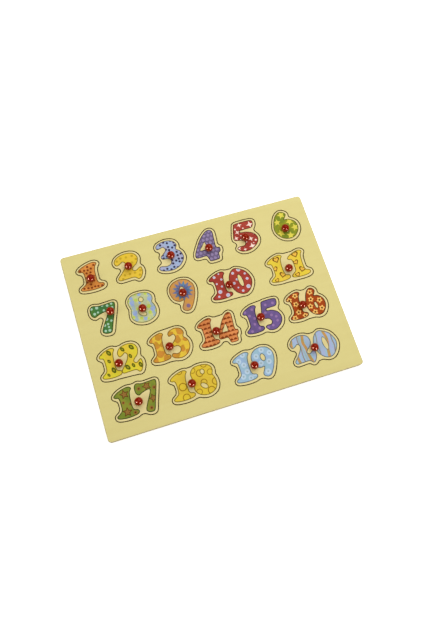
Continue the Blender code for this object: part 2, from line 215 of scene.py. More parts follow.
class DistanceField:
    """How far the places of a grid lie outside a set of closed outlines."""

    def __init__(self, outlines: Sequence[Loop], spare: float) -> None:
        """Measure the distances.

        Args:
            outlines: The outlines, which count as one shape.
            spare: How far the grid reaches beyond them.
        """
        everything = np.vstack(outlines)
        self.corner = everything.min(axis=0) - spare
        columns, rows = np.ceil((everything.max(axis=0) + spare - self.corner) / FIELD_STEP).astype(int) + 1
        grid_x, grid_y = np.meshgrid(np.arange(columns), np.arange(rows))
        places = np.stack((grid_x.ravel(), grid_y.ravel()), axis=1) * FIELD_STEP + self.corner
        heights = np.min([self.distance(outline, places) for outline in outlines], axis=0)
        self.heights = heights.reshape(rows, columns)

    @staticmethod
    def distance(outline: Loop, places: np.ndarray) -> np.ndarray:
        """Measure how far places lie outside one closed outline.

        Args:
            outline: The outline.
            places: The places, one to a row.

        Returns:
            The distances, negative inside the outline.
        """
        start, end = outline[:, None], np.roll(outline, -1, axis=0)[:, None]
        edge, offset = end - start, places[None] - start
        squared = np.maximum((edge**2).sum(axis=2), SHORTEST_EDGE**2)
        share = np.clip((offset * edge).sum(axis=2) / squared, 0, 1)
        distance = np.sqrt(((offset - share[..., None] * edge)**2).sum(axis=2)).min(axis=0)
        crosses = (start[..., 1] > places[:, 1]) != (end[..., 1] > places[:, 1])
        rise = np.where(edge[..., 1] == 0, 1, edge[..., 1])
        reach = start[..., 0] + offset[..., 1] * edge[..., 0] / rise
        inside = (crosses & (places[:, 0] < reach)).sum(axis=0) % 2 == 1
        return np.where(inside, -distance, distance)

    def line(self, level: float, spacing: float = POINT_SPACING) -> Loop:
        """Follow the line on which the distance passes a level.

        Each cell of the grid is halved along its diagonal. The line enters a half across one of its
        sides and leaves across another, and following these pairs of sides gives the line.

        Args:
            level: The distance.
            spacing: The distance wanted from one point of the line to the next.

        Returns:
            The longest closed line at that distance.
        """
        above = self.heights > level
        high_corners = sum(above[row:row - 1 or None, column:column - 1 or None].astype(int)
                           for row in (0, 1) for column in (0, 1))
        neighbours: dict = {}
        for row, column in np.argwhere((high_corners > 0) & (high_corners < 4)).tolist():
            low, across = (row, column), (row + 1, column + 1)
            for third in ((row, column + 1), (row + 1, column)):
                sides = ((low, third), (third, across), (low, across))
                crossed = [side for side in sides if above[side[0]] != above[side[1]]]
                if crossed:
                    neighbours.setdefault(crossed[0], []).append(crossed[1])
                    neighbours.setdefault(crossed[1], []).append(crossed[0])
        longest: list = []
        while neighbours:
            side = next(iter(neighbours))
            line = []
            while side is not None:
                line.append(side)
                linked = neighbours.pop(side)
                side = next((other for other in linked if other in neighbours), None)
            longest = max(longest, line, key=len)
        points = []
        for (row, column), (other_row, other_column) in longest:
            low, high = self.heights[row, column], self.heights[other_row, other_column]
            share = (level - low) / (high - low)
            points.append((column + share * (other_column - column), row + share * (other_row - row)))
        return evened(np.array(points) * FIELD_STEP + self.corner, spacing)


# Finishes

def linear(red: float, green: float, blue: float) -> Colour:
    """Turn a colour as seen on a screen into the light that it stands for.

    Args:
        red: Its red, 0 to 255.
        green: Its green, 0 to 255.
        blue: Its blue, 0 to 255.

    Returns:
        The light, 0 to 1 in each colour.
    """
    shares = (red / 255, green / 255, blue / 255)
    return tuple(share / 12.92 if share <= 0.04045 else ((share + 0.055) / 1.055) ** 2.4
                 for share in shares)


class NodeBench:
    """Adds nodes to one material or node group and joins them."""

    def __init__(self, tree: bpy.types.NodeTree) -> None:
        """Work on the tree given."""
        self.tree = tree

    def add(self, kind: str, inputs: dict | None = None, **settings: object) -> bpy.types.Node:
        """Add a node.

        Args:
            kind: The kind of node.
            inputs: A value or another node's output for each input that is set.
            settings: The node's own settings.

        Returns:
            The node.
        """
        node = self.tree.nodes.new(kind)
        for name, value in settings.items():
            setattr(node, name, value)
        self.fill(node, inputs or {})
        return node

    def fill(self, node: bpy.types.Node, inputs: dict) -> None:
        """Set inputs of a node.

        Args:
            node: The node.
            inputs: A value or another node's output for each input that is set.
        """
        for socket, value in inputs.items():
            if isinstance(value, bpy.types.NodeSocket):
                self.tree.links.new(value, node.inputs[socket])
            else:
                node.inputs[socket].default_value = value

    def grain(self, place: bpy.types.NodeSocket, bands_per_metre: float) -> bpy.types.Node:
        """Add the effect of wood grain."""
        return self.add("ShaderNodeGroup", {"Vector": place, "Bands per Metre": bands_per_metre},
                        node_tree=GRAIN)

    def patches(self, place: bpy.types.NodeSocket, patches_per_metre: float) -> bpy.types.NodeSocket:
        """Give the mask of soft uneven patches."""
        return self.add("ShaderNodeGroup", {"Vector": place, "Patches per Metre": patches_per_metre},
                        node_tree=PATCHES).outputs["Patches"]

    def object_place(self, turn: float = 0.0, scale: tuple = (1.0, 1.0, 1.0)) -> bpy.types.NodeSocket:
        """Give the place on the object, turned round Z by some degrees and stretched."""
        place = self.add("ShaderNodeTexCoord").outputs["Object"]
        return self.add("ShaderNodeMapping", {
            "Vector": place, "Rotation": (0.0, 0.0, math.radians(turn)), "Scale": scale}).outputs[0]

    def noise(self, place: bpy.types.NodeSocket, scale: object, detail: float, roughness: float = 0.5,
              distortion: float = 0.0) -> bpy.types.NodeSocket:
        """Give a noise of 0 to 1 with so many waves to the metre."""
        return self.add("ShaderNodeTexNoise", {
            "Vector": place, "Scale": scale, "Detail": detail, "Roughness": roughness,
            "Distortion": distortion}).outputs["Fac"]

    def ranged(self, value: bpy.types.NodeSocket, low: float, high: float, to_low: float = 0.0,
               to_high: float = 1.0) -> bpy.types.NodeSocket:
        """Map a value smoothly from one range to another."""
        return self.add("ShaderNodeMapRange", {
            "Value": value, "From Min": low, "From Max": high, "To Min": to_low, "To Max": to_high},
            interpolation_type="SMOOTHSTEP").outputs[0]

    def maths(self, operation: str, first: object, second: object) -> bpy.types.NodeSocket:
        """Join two numbers by an operation."""
        return self.add("ShaderNodeMath", {0: first, 1: second}, operation=operation).outputs[0]

    def mixed(self, share: object, first: object, second: object) -> bpy.types.NodeSocket:
        """Mix two colours."""
        first, second = (value if isinstance(value, bpy.types.NodeSocket) else (*value, 1.0)
                         for value in (first, second))
        return self.add("ShaderNodeMix", {0: share, 6: first, 7: second}, data_type="RGBA").outputs[2]

    def bump(self, height: bpy.types.NodeSocket, depth: float, strength: float) -> bpy.types.NodeSocket:
        """Turn a height of 0 to 1 into a bump so many metres deep."""
        return self.add("ShaderNodeBump", {
            "Height": height, "Distance": depth, "Strength": strength}).outputs["Normal"]


def new_material(name: str) -> tuple[bpy.types.Material, NodeBench, bpy.types.Node]:
    """Start a material.

    Args:
        name: Its name.

    Returns:
        The material, a bench for its nodes, and its shader.
    """
    material = bpy.data.materials.new(name)
    material.use_nodes = True
    return material, NodeBench(material.node_tree), material.node_tree.nodes["Principled BSDF"]


def effect_group(name: str, inputs: dict[str, str], outputs: Sequence[str]) -> tuple:
    """Start a node group for an effect that several finishes use.

    Args:
        name: The group's name.
        inputs: The kind of socket for each input.
        outputs: The names of its outputs, which are all numbers.

    Returns:
        The group, a bench for its nodes, its input node and its output node.
    """
    group = bpy.data.node_groups.new(name, "ShaderNodeTree")
    for socket, kind in inputs.items():
        group.interface.new_socket(socket, in_out="INPUT", socket_type=kind)
    for socket in outputs:
        group.interface.new_socket(socket, in_out="OUTPUT", socket_type="NodeSocketFloat")
    bench = NodeBench(group)
    return group, bench, bench.add("NodeGroupInput"), bench.add("NodeGroupOutput")


def grain_group() -> bpy.types.NodeTree:
    """Build the effect of wood grain.

    Returns:
        A group that takes a place, stretched along the grain, and how many bands lie in a metre. It
        gives the broad bands and the fine streaks in the wood, both as masks of 0 to 1.
    """
    group, bench, given, made = effect_group(
        "wood_grain", {"Vector": "NodeSocketVector", "Bands per Metre": "NodeSocketFloat"},
        ("Bands", "Streaks"))
    place, scale = given.outputs["Vector"], given.outputs["Bands per Metre"]
    bands = bench.noise(place, scale, 3.0, 0.55, 0.5)
    streaks = bench.noise(place, bench.maths("MULTIPLY", scale, 11.0), 2.0, 0.65)
    bench.tree.links.new(bench.ranged(bands, 0.3, 0.7), made.inputs["Bands"])
    bench.tree.links.new(bench.ranged(streaks, 0.35, 0.7), made.inputs["Streaks"])
    return group


def patch_group() -> bpy.types.NodeTree:
    """Build the effect of soft uneven patches.

    Returns:
        A group that takes a place and how many patches lie in a metre, and gives a mask of 0 to 1.
    """
    group, bench, given, made = effect_group(
        "soft_patches", {"Vector": "NodeSocketVector", "Patches per Metre": "NodeSocketFloat"},
        ("Patches",))
    patches = bench.noise(given.outputs["Vector"], given.outputs["Patches per Metre"], 2.0, 0.5)
    bench.tree.links.new(bench.ranged(patches, 0.4, 0.6), made.inputs["Patches"])
    return group


GRAIN = grain_group()
PATCHES = patch_group()


@dataclass(frozen=True)
class FaceWood:
    """A flat face of wood, plain or under lacquer, with its grain along the sheet."""

    name: str
    colour: Colour
    shade: Colour
    blotch: Colour
    grain_turn: float = 0.0
    bands_per_metre: float = 70.0
    streak_strength: float = 0.22
    blotch_strength: float = 0.22
    roughness: float = 0.46
    coat: float = 0.06
    coat_roughness: float = 0.3
    sheen: float = 0.3
    relief: float = 0.03 * MM
    patches_per_metre: float = 22.0

    def material(self) -> bpy.types.Material:
        """Build the material."""
        material, bench, shader = new_material(self.name)
        grain = bench.grain(bench.object_place(self.grain_turn, ALONG_GRAIN), self.bands_per_metre)
        patches = bench.patches(bench.object_place(), self.patches_per_metre)
        wood = bench.mixed(grain.outputs["Bands"], self.shade, self.colour)
        streaked = bench.mixed(bench.maths("MULTIPLY", grain.outputs["Streaks"], self.streak_strength),
                               wood, self.shade)
        bench.fill(shader, {
            "Base Color": bench.mixed(bench.maths("MULTIPLY", patches, self.blotch_strength), streaked,
                                      self.blotch),
            "Roughness": bench.ranged(grain.outputs["Streaks"], 0.0, 1.0, self.roughness - 0.05,
                                      self.roughness + 0.08),
            "Normal": bench.bump(grain.outputs["Streaks"], self.relief, 0.6),
            "Specular IOR Level": self.sheen, "Coat Weight": self.coat,
            "Coat Roughness": self.coat_roughness})
        return material


@dataclass(frozen=True)
class SawnEdge:
    """The cut edge of plywood: thin plies that run to and fro, crossed by the fine marks of the saw."""

    name: str
    along: Colour
    across: Colour
    glue: Colour
    ply: float
    start: float
    roughness: float = 0.62
    waver: float = 0.25
    wavers_per_metre: float = 90.0
    streaks_per_metre: float = 900.0
    streak_strength: float = 0.45
    saw_marks_per_metre: float = 1500.0
    saw_mark_depth: float = 0.04 * MM
    glue_strength: float = 0.6

    def material(self) -> bpy.types.Material:
        """Build the material."""
        material, bench, shader = new_material(self.name)
        place = bench.object_place()
        height = bench.add("ShaderNodeSeparateXYZ", {0: place}).outputs["Z"]
        waver = bench.maths("MULTIPLY", bench.noise(place, self.wavers_per_metre, 1.0), self.waver)
        layer = bench.maths("ADD", bench.maths("DIVIDE", bench.maths("SUBTRACT", height, self.start),
                                               self.ply * 2), waver)
        turn = bench.maths("FRACT", layer, 0.0)
        cross = bench.ranged(turn, 0.47, 0.53)
        from_seam = bench.maths("ABSOLUTE", bench.maths("SUBTRACT", turn, 0.5), 0.0)
        seam = bench.ranged(from_seam, 0.0, 0.035, 1.0, 0.0)
        streaks = bench.noise(bench.object_place(0.0, ALONG_PLY), self.streaks_per_metre, 2.0, 0.6)
        saw_marks = bench.noise(bench.object_place(0.0, ALONG_SAW), self.saw_marks_per_metre, 1.0)
        wood = bench.mixed(cross, self.along, self.across)
        streak_mask = bench.maths("MULTIPLY", bench.ranged(streaks, 0.35, 0.65), self.streak_strength)
        streaked = bench.mixed(streak_mask, wood, self.across)
        bench.fill(shader, {
            "Base Color": bench.mixed(bench.maths("MULTIPLY", seam, self.glue_strength), streaked,
                                      self.glue),
            "Roughness": bench.ranged(streaks, 0.3, 0.7, self.roughness - 0.08, self.roughness + 0.1),
            "Normal": bench.bump(saw_marks, self.saw_mark_depth, 0.5)})
        return material


@dataclass(frozen=True)
class PrintInk:
    """A printing ink on wood: two close tones in soft patches, with a trace of grain showing through."""

    name: str
    colour: Colour
    second: Colour | None
    patches_per_metre: float
    grain: float = 0.10
    bands_per_metre: float = 160.0
    wear: float = 0.75
    roughness: float = 0.40
    sheen: float = 0.15
    relief: float = 0.02 * MM

    def material(self) -> bpy.types.Material:
        """Build the material."""
        material, bench, shader = new_material("ink_" + self.name)
        patches = bench.patches(bench.object_place(), self.patches_per_metre)
        grain = bench.grain(bench.object_place(0.0, ALONG_GRAIN), self.bands_per_metre)
        second = self.second or tuple(share * 0.93 for share in self.colour)
        tone = bench.mixed(patches, self.colour, second)
        worn = tuple(share * self.wear for share in self.colour)
        bench.fill(shader, {
            "Base Color": bench.mixed(bench.maths("MULTIPLY", grain.outputs["Streaks"], self.grain), tone,
                                      worn),
            "Roughness": bench.ranged(patches, 0.0, 1.0, self.roughness, self.roughness + 0.06),
            "Normal": bench.bump(grain.outputs["Streaks"], self.relief, 0.5),
            "Specular IOR Level": self.sheen})
        return material


@dataclass(frozen=True)
class GlossLacquer:
    """A thick glossy coat on a small turned or moulded part, slightly uneven as it set."""

    name: str
    colour: Colour
    shade: Colour
    gleam: Colour
    roughness: float = 0.13
    patches_per_metre: float = 260.0
    waves_per_metre: float = 420.0
    relief: float = 0.015 * MM

    def material(self) -> bpy.types.Material:
        """Build the material."""
        material, bench, shader = new_material(self.name)
        place = bench.object_place()
        flow = bench.noise(place, self.waves_per_metre, 1.0)
        bench.fill(shader, {
            "Base Color": bench.mixed(bench.patches(place, self.patches_per_metre), self.colour,
                                      self.shade),
            "Roughness": bench.ranged(flow, 0.3, 0.7, self.roughness - 0.04, self.roughness + 0.06),
            "Normal": bench.bump(flow, self.relief, 0.5),
            "Specular IOR Level": 1.0, "Specular Tint": (*self.gleam, 1.0)})
        return material


@dataclass(frozen=True)
class PaleFloor:
    """The plain white table top under the board."""

    name: str
    colour: Colour
    glow: float

    def material(self) -> bpy.types.Material:
        """Build the material."""
        material, bench, shader = new_material(self.name)
        cloud = bench.noise(bench.object_place(), 3.0, 2.0)
        darker = tuple(share * 0.99 for share in self.colour)
        bench.fill(shader, {
            "Base Color": bench.mixed(cloud, self.colour, darker), "Roughness": 0.8,
            "Emission Color": (1.0, 1.0, 1.0, 1.0), "Emission Strength": self.glow})
        return material


BOARD_FACE = FaceWood("lacquered_board", linear(219, 206, 135), linear(216, 202, 130),
                      linear(217, 205, 132))
TILE_FACE = FaceWood("lacquered_tile", linear(227, 211, 148), linear(219, 202, 137), linear(222, 207, 142))
RAW_FACE = FaceWood("raw_plywood", linear(210, 184, 126), linear(176, 142, 84), linear(196, 166, 108),
                    streak_strength=0.7, blotch_strength=0.5, roughness=0.6, coat=0.0, relief=0.12 * MM)
RAW_BACK = FaceWood("raw_tile_back", linear(212, 186, 136), linear(184, 150, 100), linear(200, 172, 122),
                    streak_strength=0.6, blotch_strength=0.4, roughness=0.6, coat=0.0, relief=0.10 * MM)
SHEET_EDGE = SawnEdge("sawn_sheet_edge", linear(208, 200, 156), linear(182, 164, 112), linear(128, 104, 62),
                      1.25 * MM, 3.0 * MM)
# The walls of the saw cuts round the tiles and in the openings are coloured dark brown: partly the scorch
# of the cut, partly painted shade deep in the narrow gap.
CUT_EDGE_WITH_PAINTED_SHADE = SawnEdge("scorch_and_painted_shade_saw_cut", linear(146, 112, 50), linear(108, 76, 26), linear(70, 48, 14),
                    1.25 * MM, 3.0 * MM)
BACKING_EDGE = SawnEdge("sawn_backing_edge", linear(206, 186, 134), linear(170, 142, 90),
                        linear(112, 86, 46), 0.98 * MM, 0.0)
KNOB_RED = GlossLacquer("glossy_red", linear(145, 31, 9), linear(136, 24, 7), (1.0, 0.54, 0.36))
FLOOR = PaleFloor("white_table", (0.94, 0.94, 0.94), 0.55)


# Printed marks

class Motif(Enum):
    """The shapes that the printed numbers are filled with."""

    DOT = "dot"
    STAR = "star"
    SPARKLE = "sparkle"
    BURST = "burst"
    FLOWER = "flower"
    LEAF = "leaf"
    HEART = "heart"
    PATCH = "patch"
    SCALLOP = "scallop"

    def outline(self) -> Loop:
        """Draw the shape.

        Returns:
            Its outline round the origin, about one unit from its middle to its tips.
        """
        angles = np.arange(40) * math.pi / 20
        if self in SPIKES:
            count, waist = SPIKES[self]
            angles = np.arange(2 * count) * math.pi / count + math.pi / 2
            return polar(angles, np.where(np.arange(2 * count) % 2, waist, 1.0))
        if self is Motif.FLOWER:
            return polar(angles + math.pi / 2, 0.82 + 0.18 * np.cos(5 * angles))
        if self is Motif.LEAF:
            return np.stack((np.cos(angles), 0.62 * np.sin(angles) * np.abs(np.sin(angles))**0.3), axis=1)
        if self is Motif.HEART:
            up = 13 * np.cos(angles) - 5 * np.cos(2 * angles) - 2 * np.cos(3 * angles) - np.cos(4 * angles)
            return np.stack((16 * np.sin(angles)**3, up), axis=1) / 16
        if self is Motif.PATCH:
            return polar(angles, 0.92 + 0.10 * np.cos(3 * angles + 0.6) + 0.08 * np.cos(4 * angles))
        if self is Motif.SCALLOP:
            half = np.arange(13) * math.pi / 12
            return np.stack((np.cos(half), np.sin(half)), axis=1)
        return polar(angles[::2], np.ones(20))


def polar(angles: np.ndarray, radii: np.ndarray) -> Loop:
    """Give the points that lie at some angles and distances from the origin."""
    return np.stack((np.cos(angles), np.sin(angles)), axis=1) * radii[:, None]


SPIKES = {Motif.STAR: (5, 0.46), Motif.SPARKLE: (4, 0.36), Motif.BURST: (13, 0.62)}


class Mark(NamedTuple):
    """One kind of mark, printed at several places of a number.

    A place is X and Y, then, where they differ from 1 and 0, the mark's own share of the size and its
    turn in degrees. The core is a smaller mark of another ink on top of each.
    """

    motif: Motif
    ink: str
    size: float
    places: tuple[Place, ...]
    height: float = 1.0
    core: tuple[str, float] | None = None
    core_motif: Motif | None = None

    def loops(self) -> Iterator[tuple[str, Loop]]:
        """Draw the marks.

        Returns:
            The ink and the outline of each in turn, in millimetres.
        """
        for place in self.places:
            x, y, share, turn = (*place, 1.0, 0.0)[:4] if len(place) == 2 else (*place, 0.0)[:4]
            shapes = [(self.ink, self.motif, 1.0)]
            if self.core:
                shapes.append((self.core[0], self.core_motif or self.motif, self.core[1]))
            for ink, motif, part in shapes:
                shape = motif.outline() * (1.0, self.height) * self.size * share * part
                yield ink, turned(shape, turn) + (x, y)


class Ribbon(NamedTuple):
    """A wavy stripe of ink along a path."""

    ink: str
    width: float
    path: tuple[Place, ...]

    def loops(self) -> Iterator[tuple[str, Loop]]:
        """Draw the stripe.

        Returns:
            Its ink and its outline, in millimetres.
        """
        path = np.array(self.path, float)
        along = np.gradient(path, axis=0)
        across = np.stack((-along[:, 1], along[:, 0]), axis=1)
        across *= self.width / 2 / np.linalg.norm(across, axis=1)[:, None]
        corners = np.vstack((path + across, (path - across)[::-1]))
        yield self.ink, smooth_loop(corners)


def every(spacing: float, across: tuple[float, float], heights: Sequence[float], shift: float = 0.0
          ) -> tuple[Place, ...]:
    """Place marks in rows.

    Args:
        spacing: The distance from one mark of a row to the next.
        across: Where the rows begin and end.
        heights: Where the rows lie.
        shift: How far every second row is moved along.

    Returns:
        The places.
    """
    count = int((across[1] - across[0]) / spacing) + 1
    return tuple((across[0] + spacing * step + shift * (row % 2), height)
                 for row, height in enumerate(heights) for step in range(count))


def print_ink(name: str, tone: Colour, second: Colour | None = None, patches_per_metre: float = 110.0
              ) -> PrintInk:
    """Mix an ink from its tones as they are seen on a screen, 0 to 255."""
    return PrintInk(name, linear(*tone), second and linear(*second), patches_per_metre)


INKS = {ink.name: ink for ink in (
    print_ink("orange", (220, 144, 66), (204, 128, 52)),
    print_ink("rust", (134, 58, 6)),
    print_ink("umber", (125, 79, 20)),
    print_ink("yellow", (228, 193, 50), (226, 188, 60)),
    print_ink("ochre", (198, 164, 32)),
    print_ink("olive", (134, 112, 20)),
    print_ink("sky", (156, 176, 208), (168, 170, 198)),
    print_ink("navy", (60, 54, 84)),
    print_ink("slate", (90, 86, 92)),
    print_ink("violet", (104, 90, 122), (114, 98, 132)),
    print_ink("lilac", (148, 130, 168)),
    print_ink("plum", (50, 38, 50)),
    print_ink("red", (169, 62, 47), (160, 54, 42)),
    print_ink("cream", (253, 224, 208)),
    print_ink("maroon", (84, 30, 4)),
    print_ink("leaf_green", (150, 152, 26), (122, 138, 34), 80.0),
    print_ink("lemon", (224, 210, 78)),
    print_ink("moss", (94, 88, 10)),
    print_ink("forest", (64, 118, 62), (76, 122, 50)),
    print_ink("ice", (168, 204, 176)),
    print_ink("pine", (56, 66, 14)),
    print_ink("lime", (200, 204, 138), (176, 186, 150)),
    print_ink("powder", (148, 166, 212), (156, 178, 204), 260.0),
    print_ink("haze", (160, 180, 184)),
    print_ink("pistachio", (190, 206, 84)),
    print_ink("fern", (122, 122, 68)),
    print_ink("apricot", (208, 148, 66), (190, 140, 84)),
    print_ink("steel", (92, 130, 160), (110, 112, 150)),
    print_ink("dusk", (84, 102, 146), (98, 84, 122)),
    print_ink("orchid", (130, 104, 138)),
    print_ink("bronze", (126, 84, 34)),
    print_ink("pearl", (224, 196, 204)),
    print_ink("silver", (182, 192, 212)),
    print_ink("gold", (232, 196, 62), (226, 200, 56)),
    print_ink("tangerine", (236, 184, 66)),
    print_ink("hazel", (118, 76, 2)),
    print_ink("brown", (133, 92, 22)),
    print_ink("citron", (218, 204, 48), (224, 194, 54), 80.0),
    print_ink("leaf", (88, 94, 4)),
    print_ink("pear", (158, 152, 30)),
    print_ink("honey", (226, 192, 56), (222, 180, 60)),
    print_ink("caramel", (194, 140, 40), (206, 138, 50)),
    print_ink("coral", (224, 140, 78), (206, 124, 64)),
    print_ink("sienna", (136, 56, 2)),
    print_ink("chestnut", (120, 64, 18)),
    print_ink("grape", (112, 88, 144), (104, 84, 132)),
    print_ink("mauve", (150, 116, 166)),
    print_ink("brick", (168, 68, 4)),
    print_ink("saffron", (250, 194, 102)),
    print_ink("bark", (104, 58, 10)),
    print_ink("grass", (138, 142, 46), (118, 134, 42)),
    print_ink("russet", (152, 110, 48)),
    print_ink("straw", (222, 192, 50), (218, 184, 56)),
    print_ink("sand", (158, 118, 10)),
    print_ink("azure", (152, 180, 210), (152, 186, 200)),
    print_ink("mist", (186, 208, 224)),
    print_ink("storm", (100, 112, 112)),
    print_ink("pool", (154, 186, 202), (158, 180, 208), 130.0),
    print_ink("periwinkle", (166, 176, 212), (164, 184, 204), 130.0),
    print_ink("clay", (198, 146, 80), (178, 148, 84), 160.0),
    print_ink("taupe", (150, 130, 116)),
)}


# The numbers

DIGITS = {
    0: ((34, 100), (56, 96), (84, 80), (100, 50), (92, 24), (70, 4), (44, 0), (18, 12), (3, 35), (0, 63),
        (12, 87)),
    1: ((7, 79), (22, 89), (53, 98), (78, 100), (90, 93), (81, 83), (76, 66), (75, 36), (80, 22), (97, 17),
        (99, 8), (84, 2), (45, 0), (8, 4), (1, 12), (16, 20), (28, 30), (29, 59), (25, 71), (14, 73)),
    2: ((0, 77), (12, 91), (37, 99), (66, 99), (86, 91), (94, 75), (86, 57), (68, 45), (63, 37), (74, 32),
        (91, 40), (98, 38), (99, 21), (88, 4), (76, 0), (62, 9), (29, 9), (6, 9), (0, 18), (19, 34),
        (36, 51), (42, 65), (33, 73), (21, 67), (6, 64)),
    3: ((10, 87), (20, 95), (48, 100), (76, 94), (87, 79), (80, 66), (95, 54), (100, 35), (91, 19),
        (73, 6), (45, 0), (14, 4), (0, 13), (8, 21), (30, 17), (47, 22), (51, 34), (40, 41), (23, 42),
        (18, 51), (31, 60), (42, 70), (36, 81), (23, 79), (12, 78)),
    4: ((68, 99), (81, 100), (90, 92), (89, 72), (86, 47), (90, 38), (99, 37), (98, 25), (89, 19),
        (88, 6), (82, 0), (52, 0), (47, 7), (41, 19), (17, 19), (2, 21), (1, 31), (13, 50), (36, 77),
        (55, 92)),
    5: ((20, 98), (44, 100), (90, 99), (100, 91), (90, 75), (58, 73), (36, 72), (36, 66), (62, 63),
        (90, 52), (100, 33), (86, 14), (53, 1), (20, 2), (2, 14), (12, 20), (34, 20), (43, 29), (31, 39),
        (5, 43), (0, 52), (7, 73), (15, 92)),
    6: ((38, 99), (55, 98), (67, 88), (60, 77), (53, 70), (72, 68), (93, 56), (100, 39), (94, 21),
        (76, 5), (52, 0), (25, 7), (6, 24), (0, 44), (7, 66), (20, 87)),
    7: ((13, 99), (36, 95), (70, 96), (95, 96), (99, 86), (87, 57), (74, 29), (64, 6), (55, 0), (36, 2),
        (27, 11), (39, 31), (59, 57), (64, 69), (53, 71), (28, 66), (13, 61), (1, 70), (1, 90)),
    8: ((50, 100), (79, 96), (96, 84), (97, 70), (92, 60), (99, 46), (99, 25), (84, 8), (53, 0), (20, 6),
        (2, 21), (2, 39), (6, 53), (2, 66), (2, 82), (20, 97)),
    9: ((48, 100), (23, 95), (5, 82), (0, 64), (9, 43), (28, 34), (45, 35), (42, 27), (32, 13), (37, 4),
        (54, 0), (69, 7), (87, 30), (98, 53), (99, 74), (84, 92), (67, 98)),
}

EYES = {
    0: (ellipse((50, 51), (18, 45), 7),),
    4: (smooth_loop(((25, 42), (36, 53), (48, 64), (51, 58), (51, 42), (38, 41))),),
    6: (ellipse((50, 36), (12, 22), 12),),
    8: (ellipse((53, 77), (15, 14)), ellipse((45, 31), (28, 14), -28)),
    9: (ellipse((51, 65), (17, 22), 12),),
}


class Figure(NamedTuple):
    """One printed digit of a number, with its place beside the digit before it, in millimetres."""

    digit: int
    width: float
    height: float
    gap: float = 0.0
    rise: float = 0.0


@dataclass(frozen=True)
class Number:
    """What is printed on one tile.

    The corner is the lower left one of the digits, from the board's middle. Two digits stand on one tile,
    joined by a bridge of bare wood: how far it starts above their feet and ends below their tops.
    """

    corner: tuple[float, float]
    fill: str
    line: str
    figures: tuple[Figure, ...]
    marks: tuple[Mark | Ribbon, ...]
    bridge: tuple[float, float] | None = None

    def digits(self) -> list[tuple[Loop, list[Loop]]]:
        """Draw the digits.

        Returns:
            For each digit its outline and those of its eyes, in metres from the number's lower left corner.
        """
        drawn = []
        left = 0.0
        for figure in self.figures:
            left += figure.gap
            curve = smooth_loop(DIGITS[figure.digit])
            low, high = curve.min(axis=0), curve.max(axis=0)
            size = np.array((figure.width, figure.height)) * MM
            corner = np.array((left, figure.rise)) * MM
            drawn.append(((curve - low) / (high - low) * size + corner,
                          [eye / 100 * size + corner for eye in EYES.get(figure.digit, ())]))
            left += figure.width
        low = np.vstack([outline for outline, _ in drawn]).min(axis=0)
        return [(outline - low, [eye - low for eye in eyes]) for outline, eyes in drawn]

    def wood(self) -> list[Loop]:
        """Draw what the saw goes round.

        Returns:
            The outlines of the digits and of the bridge between them, placed as the digits are.
        """
        outlines = [outline for outline, _ in self.digits()]
        if self.bridge is None:
            return outlines
        rise, sag = (size * MM for size in self.bridge)
        feet = [outline[outline[:, 1].argmin()] + (0, rise) for outline in outlines]
        tops = [outline[outline[:, 1].argmax()] - (0, sag) for outline in outlines]
        return [*outlines, np.array((*feet, *reversed(tops)))]


